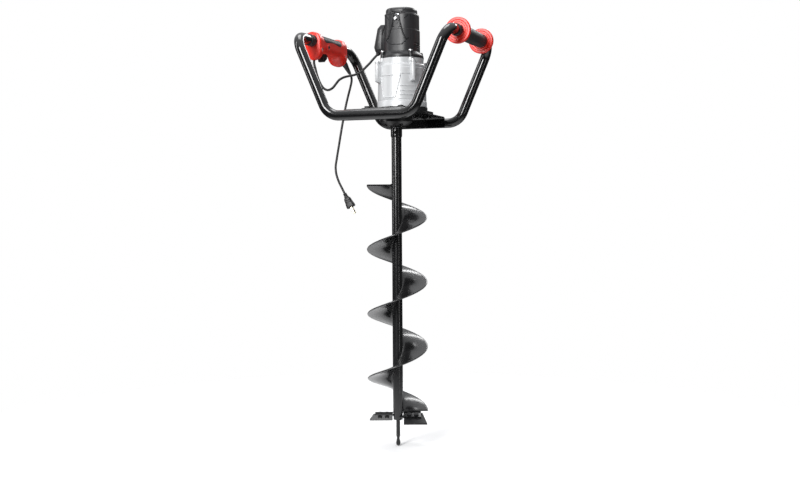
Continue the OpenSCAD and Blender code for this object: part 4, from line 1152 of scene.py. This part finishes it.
patch_y0, patch_y1, patch_out, patch_in = -52.0, 60.0, -12.5, 34.0
pad_rows = []
ny, nt = 112, 44
for i in range(ny + 1):
    y = patch_y0 + (patch_y1 - patch_y0) * i / ny
    end = min(y - patch_y0, patch_y1 - y)
    ease = 1 - math.sqrt(max(0.0, 1 - (1 - min(1, end / 16.0)) ** 2))
    wave = 1 - math.cos(math.pi * (y - patch_y0) / (patch_y1 - patch_y0) * 2)
    lowest = patch_in - 13.0 * ease - 5.0 * wave / 2
    outer = patch_out + 9.0 * ease
    front, back = [], []
    for k in range(nt + 1):
        travel = outer + (lowest - outer) * k / nt
        rim_gap = min(end + 0.3, travel - outer, lowest - travel)
        proud = -0.5 + 1.15 * soft_step(rim_gap, 0.0, 1.2)
        rib = 0.35 * max(0.0, math.cos(math.tau * y / 5.0)) ** 2 if rim_gap > 3.5 else 0.0
        p = along_section(y, travel, proud + rib)
        q = along_section(y, travel, -1.6)
        front.append(Vector((hand_x + p.x * mm, y * mm, p.y * mm)))
        back.append(Vector((hand_x + q.x * mm, y * mm, q.y * mm)))
    pad_rows.append(front + back[::-1])
piece("handle_inlay_pad", *skin(pad_rows), "handle_inlay", sharp=60)

# %% [markdown]
# ## Collars, plain grip and its discs
# Rubber collars close both ends of each grip. The plain grip is a ribbed rubber sleeve between
# two red discs that stop the hand. All are turned parts, so each is a profile round the bar.

# %% Turned parts on the bars
def on_bar(x, y):
    return aimed((x, y, 0), (0, 1, 0))


collar_r, collar_bore, collar_floor = 0.0149, tube_r - 0.0002, 0.0149 - 0.0009
collar_lip, rib_pitch = 0.002, 0.0042


def collar(length, x, y):
    """A grooved rubber collar on a bar, from y onwards."""
    rows = [(collar_bore, 0), (collar_r - 0.0006, 0, 0.0004), (collar_r, collar_lip, 0.0004)]
    z = collar_lip + rib_pitch / 2
    while z < length - collar_lip:
        rows += [(collar_r, z - rib_pitch * 0.22, 0.0002), (collar_floor, z - rib_pitch * 0.12, 0.0002),
                 (collar_floor, z + rib_pitch * 0.12, 0.0002), (collar_r, z + rib_pitch * 0.22, 0.0002)]
        z += rib_pitch
    rows += [(collar_r, length - collar_lip, 0.0004), (collar_r - 0.0006, length, 0.0004),
             (collar_bore, length), (collar_bore, 0)]
    return moved(turned(rows, 64), on_bar(x, y))


switch_rings = join_parts([collar(0.026, hand_x, -0.106), collar(0.016, hand_x, 0.092)])
piece("switch_end_collars", *switch_rings, "switch_collars", sharp=50)

disc_low, disc_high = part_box("near_grip_disc")
disc_t, disc_r = disc_high.y - disc_low.y, (disc_high.z - disc_low.z) / 2
grip_rings = join_parts([collar(0.020, reach, disc_low.y - 0.020), collar(0.020, reach, -disc_low.y)])
piece("plain_grip_collars", *grip_rings, "grip_collars", sharp=50)

# %% Discs
disc_profile = [(tube_r, 0), (0.0195, 0, 0.0008), (0.0205, 0.0012, 0.0008),
                (disc_r - 0.0075, 0.0012, 0.0010), (disc_r - 0.0062, 0.0002, 0.0008),
                (disc_r - 0.0016, 0.0004, 0.0014), (disc_r, 0.0022, 0.0012), (disc_r, 0.0040, 0.0004),
                (disc_r - 0.0008, 0.0046, 0.0003), (disc_r - 0.0008, 0.0056, 0.0003),
                (disc_r, 0.0062, 0.0004), (disc_r, disc_t - 0.0020, 0.0012),
                (disc_r - 0.0016, disc_t - 0.0004, 0.0014), (disc_r - 0.0062, disc_t - 0.0002, 0.0008),
                (disc_r - 0.0075, disc_t - 0.0012, 0.0010), (0.0205, disc_t - 0.0012, 0.0008),
                (0.0195, disc_t, 0.0008), (tube_r, disc_t), (tube_r, 0)]
for name, node, y in (("near_disc", "near_grip_disc", disc_low.y),
                      ("far_disc", "far_grip_disc", -disc_high.y)):
    piece(name, *moved(turned(disc_profile, 96), on_bar(reach, y)), node, sharp=50)

# %% Sleeve
sleeve_low, sleeve_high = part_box("grip_sleeve")
sleeve_r, sleeve_l = (sleeve_high.z - sleeve_low.z) / 2, sleeve_high.y - sleeve_low.y
sleeve_sides, sleeve_steps = 120, 180
around = [(math.cos(math.tau * k / sleeve_sides), math.sin(math.tau * k / sleeve_sides))
          for k in range(sleeve_sides)]
rows = [[Vector(((sleeve_r - 0.004) * c, (sleeve_r - 0.004) * s, 0)) for c, s in around]]
for i in range(sleeve_steps + 1):
    share = i / sleeve_steps
    end_round = 0.0018 * (1 - soft_step(min(share, 1 - share), 0, 0.012))
    swell = sleeve_r - 0.0010 * (2 * share - 1) ** 2 - end_round
    ring = []
    for k, (c, s) in enumerate(around):
        grip = 0.0
        if 0.06 < share < 0.94:
            flute = max(0.0, math.cos(math.tau * k / 20)) ** 1.5
            band = soft_step(abs(math.sin(math.pi * share * 9)), 0.10, 0.22)
            grip = -0.0004 * (1 - band * (0.55 + 0.45 * flute))
        ring.append(Vector(((swell + grip) * c, (swell + grip) * s, share * sleeve_l)))
    rows.append(ring)
rows.append([Vector((p.x * 0.8, p.y * 0.8, sleeve_l)) for p in rows[1]])
piece("plain_grip_sleeve", *moved(skin(rows), on_bar(reach, sleeve_low.y)), "grip_sleeve", sharp=50)

# %% [markdown]
# ## The auger
# The auger is a one inch tube with 3.5 turns of rolled plate welded round it. The plate is a
# helicoid: every radius line is level while it climbs 163 mm a turn. Its rim is ground round,
# and a small weld bead fills the corner at the tube on both faces.

# %% Tube and coupler
stem_low, stem_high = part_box("auger_tube")
stem_r = (stem_high.x - stem_low.x) / 2
piece("auger_stem", *turned([(0, stem_low.z), (stem_r, stem_low.z, 0.0006), (stem_r, stem_high.z, 0.0006),
                             (0, stem_high.z)], 96), "auger_tube", sharp=50)
coupler_low, coupler_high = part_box("coupler")
coupler_r = min(max(coupler_high.x, -coupler_low.x), 0.0145)
coupler_rows = [(0.0105, coupler_high.z), (coupler_r, coupler_high.z, 0.001),
                (coupler_r, coupler_low.z + 0.004, 0.001), (coupler_r - 0.0008, coupler_low.z, 0.0008),
                (stem_r - 0.0003, coupler_low.z),
                (0.0105, coupler_low.z + 0.001), (0.0105, coupler_high.z)]
piece("auger_coupler", *turned(coupler_rows, 96), "coupler", sharp=50)


# %% Flights
flight_foot_z, flight_start, steps_a_turn = -0.9365, math.radians(21), 120


def flight_part(from_turn, to_turn):
    """A stretch of helicoid with a round rim and weld beads, as a closed skin."""
    pitch, outer, thick = 0.163, 0.0762, 0.002
    section = [(stem_r - 0.0004, 0.0034), (stem_r + 0.0006, 0.0040), (stem_r + 0.0022, 0.0034),
               (stem_r + 0.0036, 0.0022), (stem_r + 0.0060, thick), (0.030, thick), (0.045, thick),
               (0.060, thick), (outer - 0.004, thick), (outer - 0.0016, 0.0018), (outer - 0.0005, 0.0012),
               (outer, 0.0004), (outer, -0.0004), (outer - 0.0005, -0.0012), (outer - 0.0016, -0.0018),
               (outer - 0.004, -thick), (0.060, -thick), (0.045, -thick), (0.030, -thick),
               (stem_r + 0.0060, -thick), (stem_r + 0.0036, -0.0022), (stem_r + 0.0022, -0.0034),
               (stem_r + 0.0006, -0.0040), (stem_r - 0.0004, -0.0034)]
    steps = int(steps_a_turn * (to_turn - from_turn))
    rings = []
    for i in range(steps + 1):
        share = from_turn + (to_turn - from_turn) * i / steps
        angle = flight_start + math.tau * share
        level = flight_foot_z + pitch * share
        ring = []
        for r, up in section:
            if r < stem_r + 0.005:
                up *= 1 + 0.10 * math.sin(angle * 37) * (0.5 + 0.5 * math.sin(angle * 11))
            ring.append(Vector((r * math.cos(angle), r * math.sin(angle), level + up)))
        rings.append(ring)
    return skin(rings)


for number, low_turn, high_turn in ((1, 0, 0.5), (2, 0.5, 1.5), (3, 1.5, 2.5), (4, 2.5, 3.5)):
    piece(f"flight_plate_{number}", *flight_part(low_turn, high_turn), f"flight_{number}", sharp=35)
print("flights: 3.5 turns")
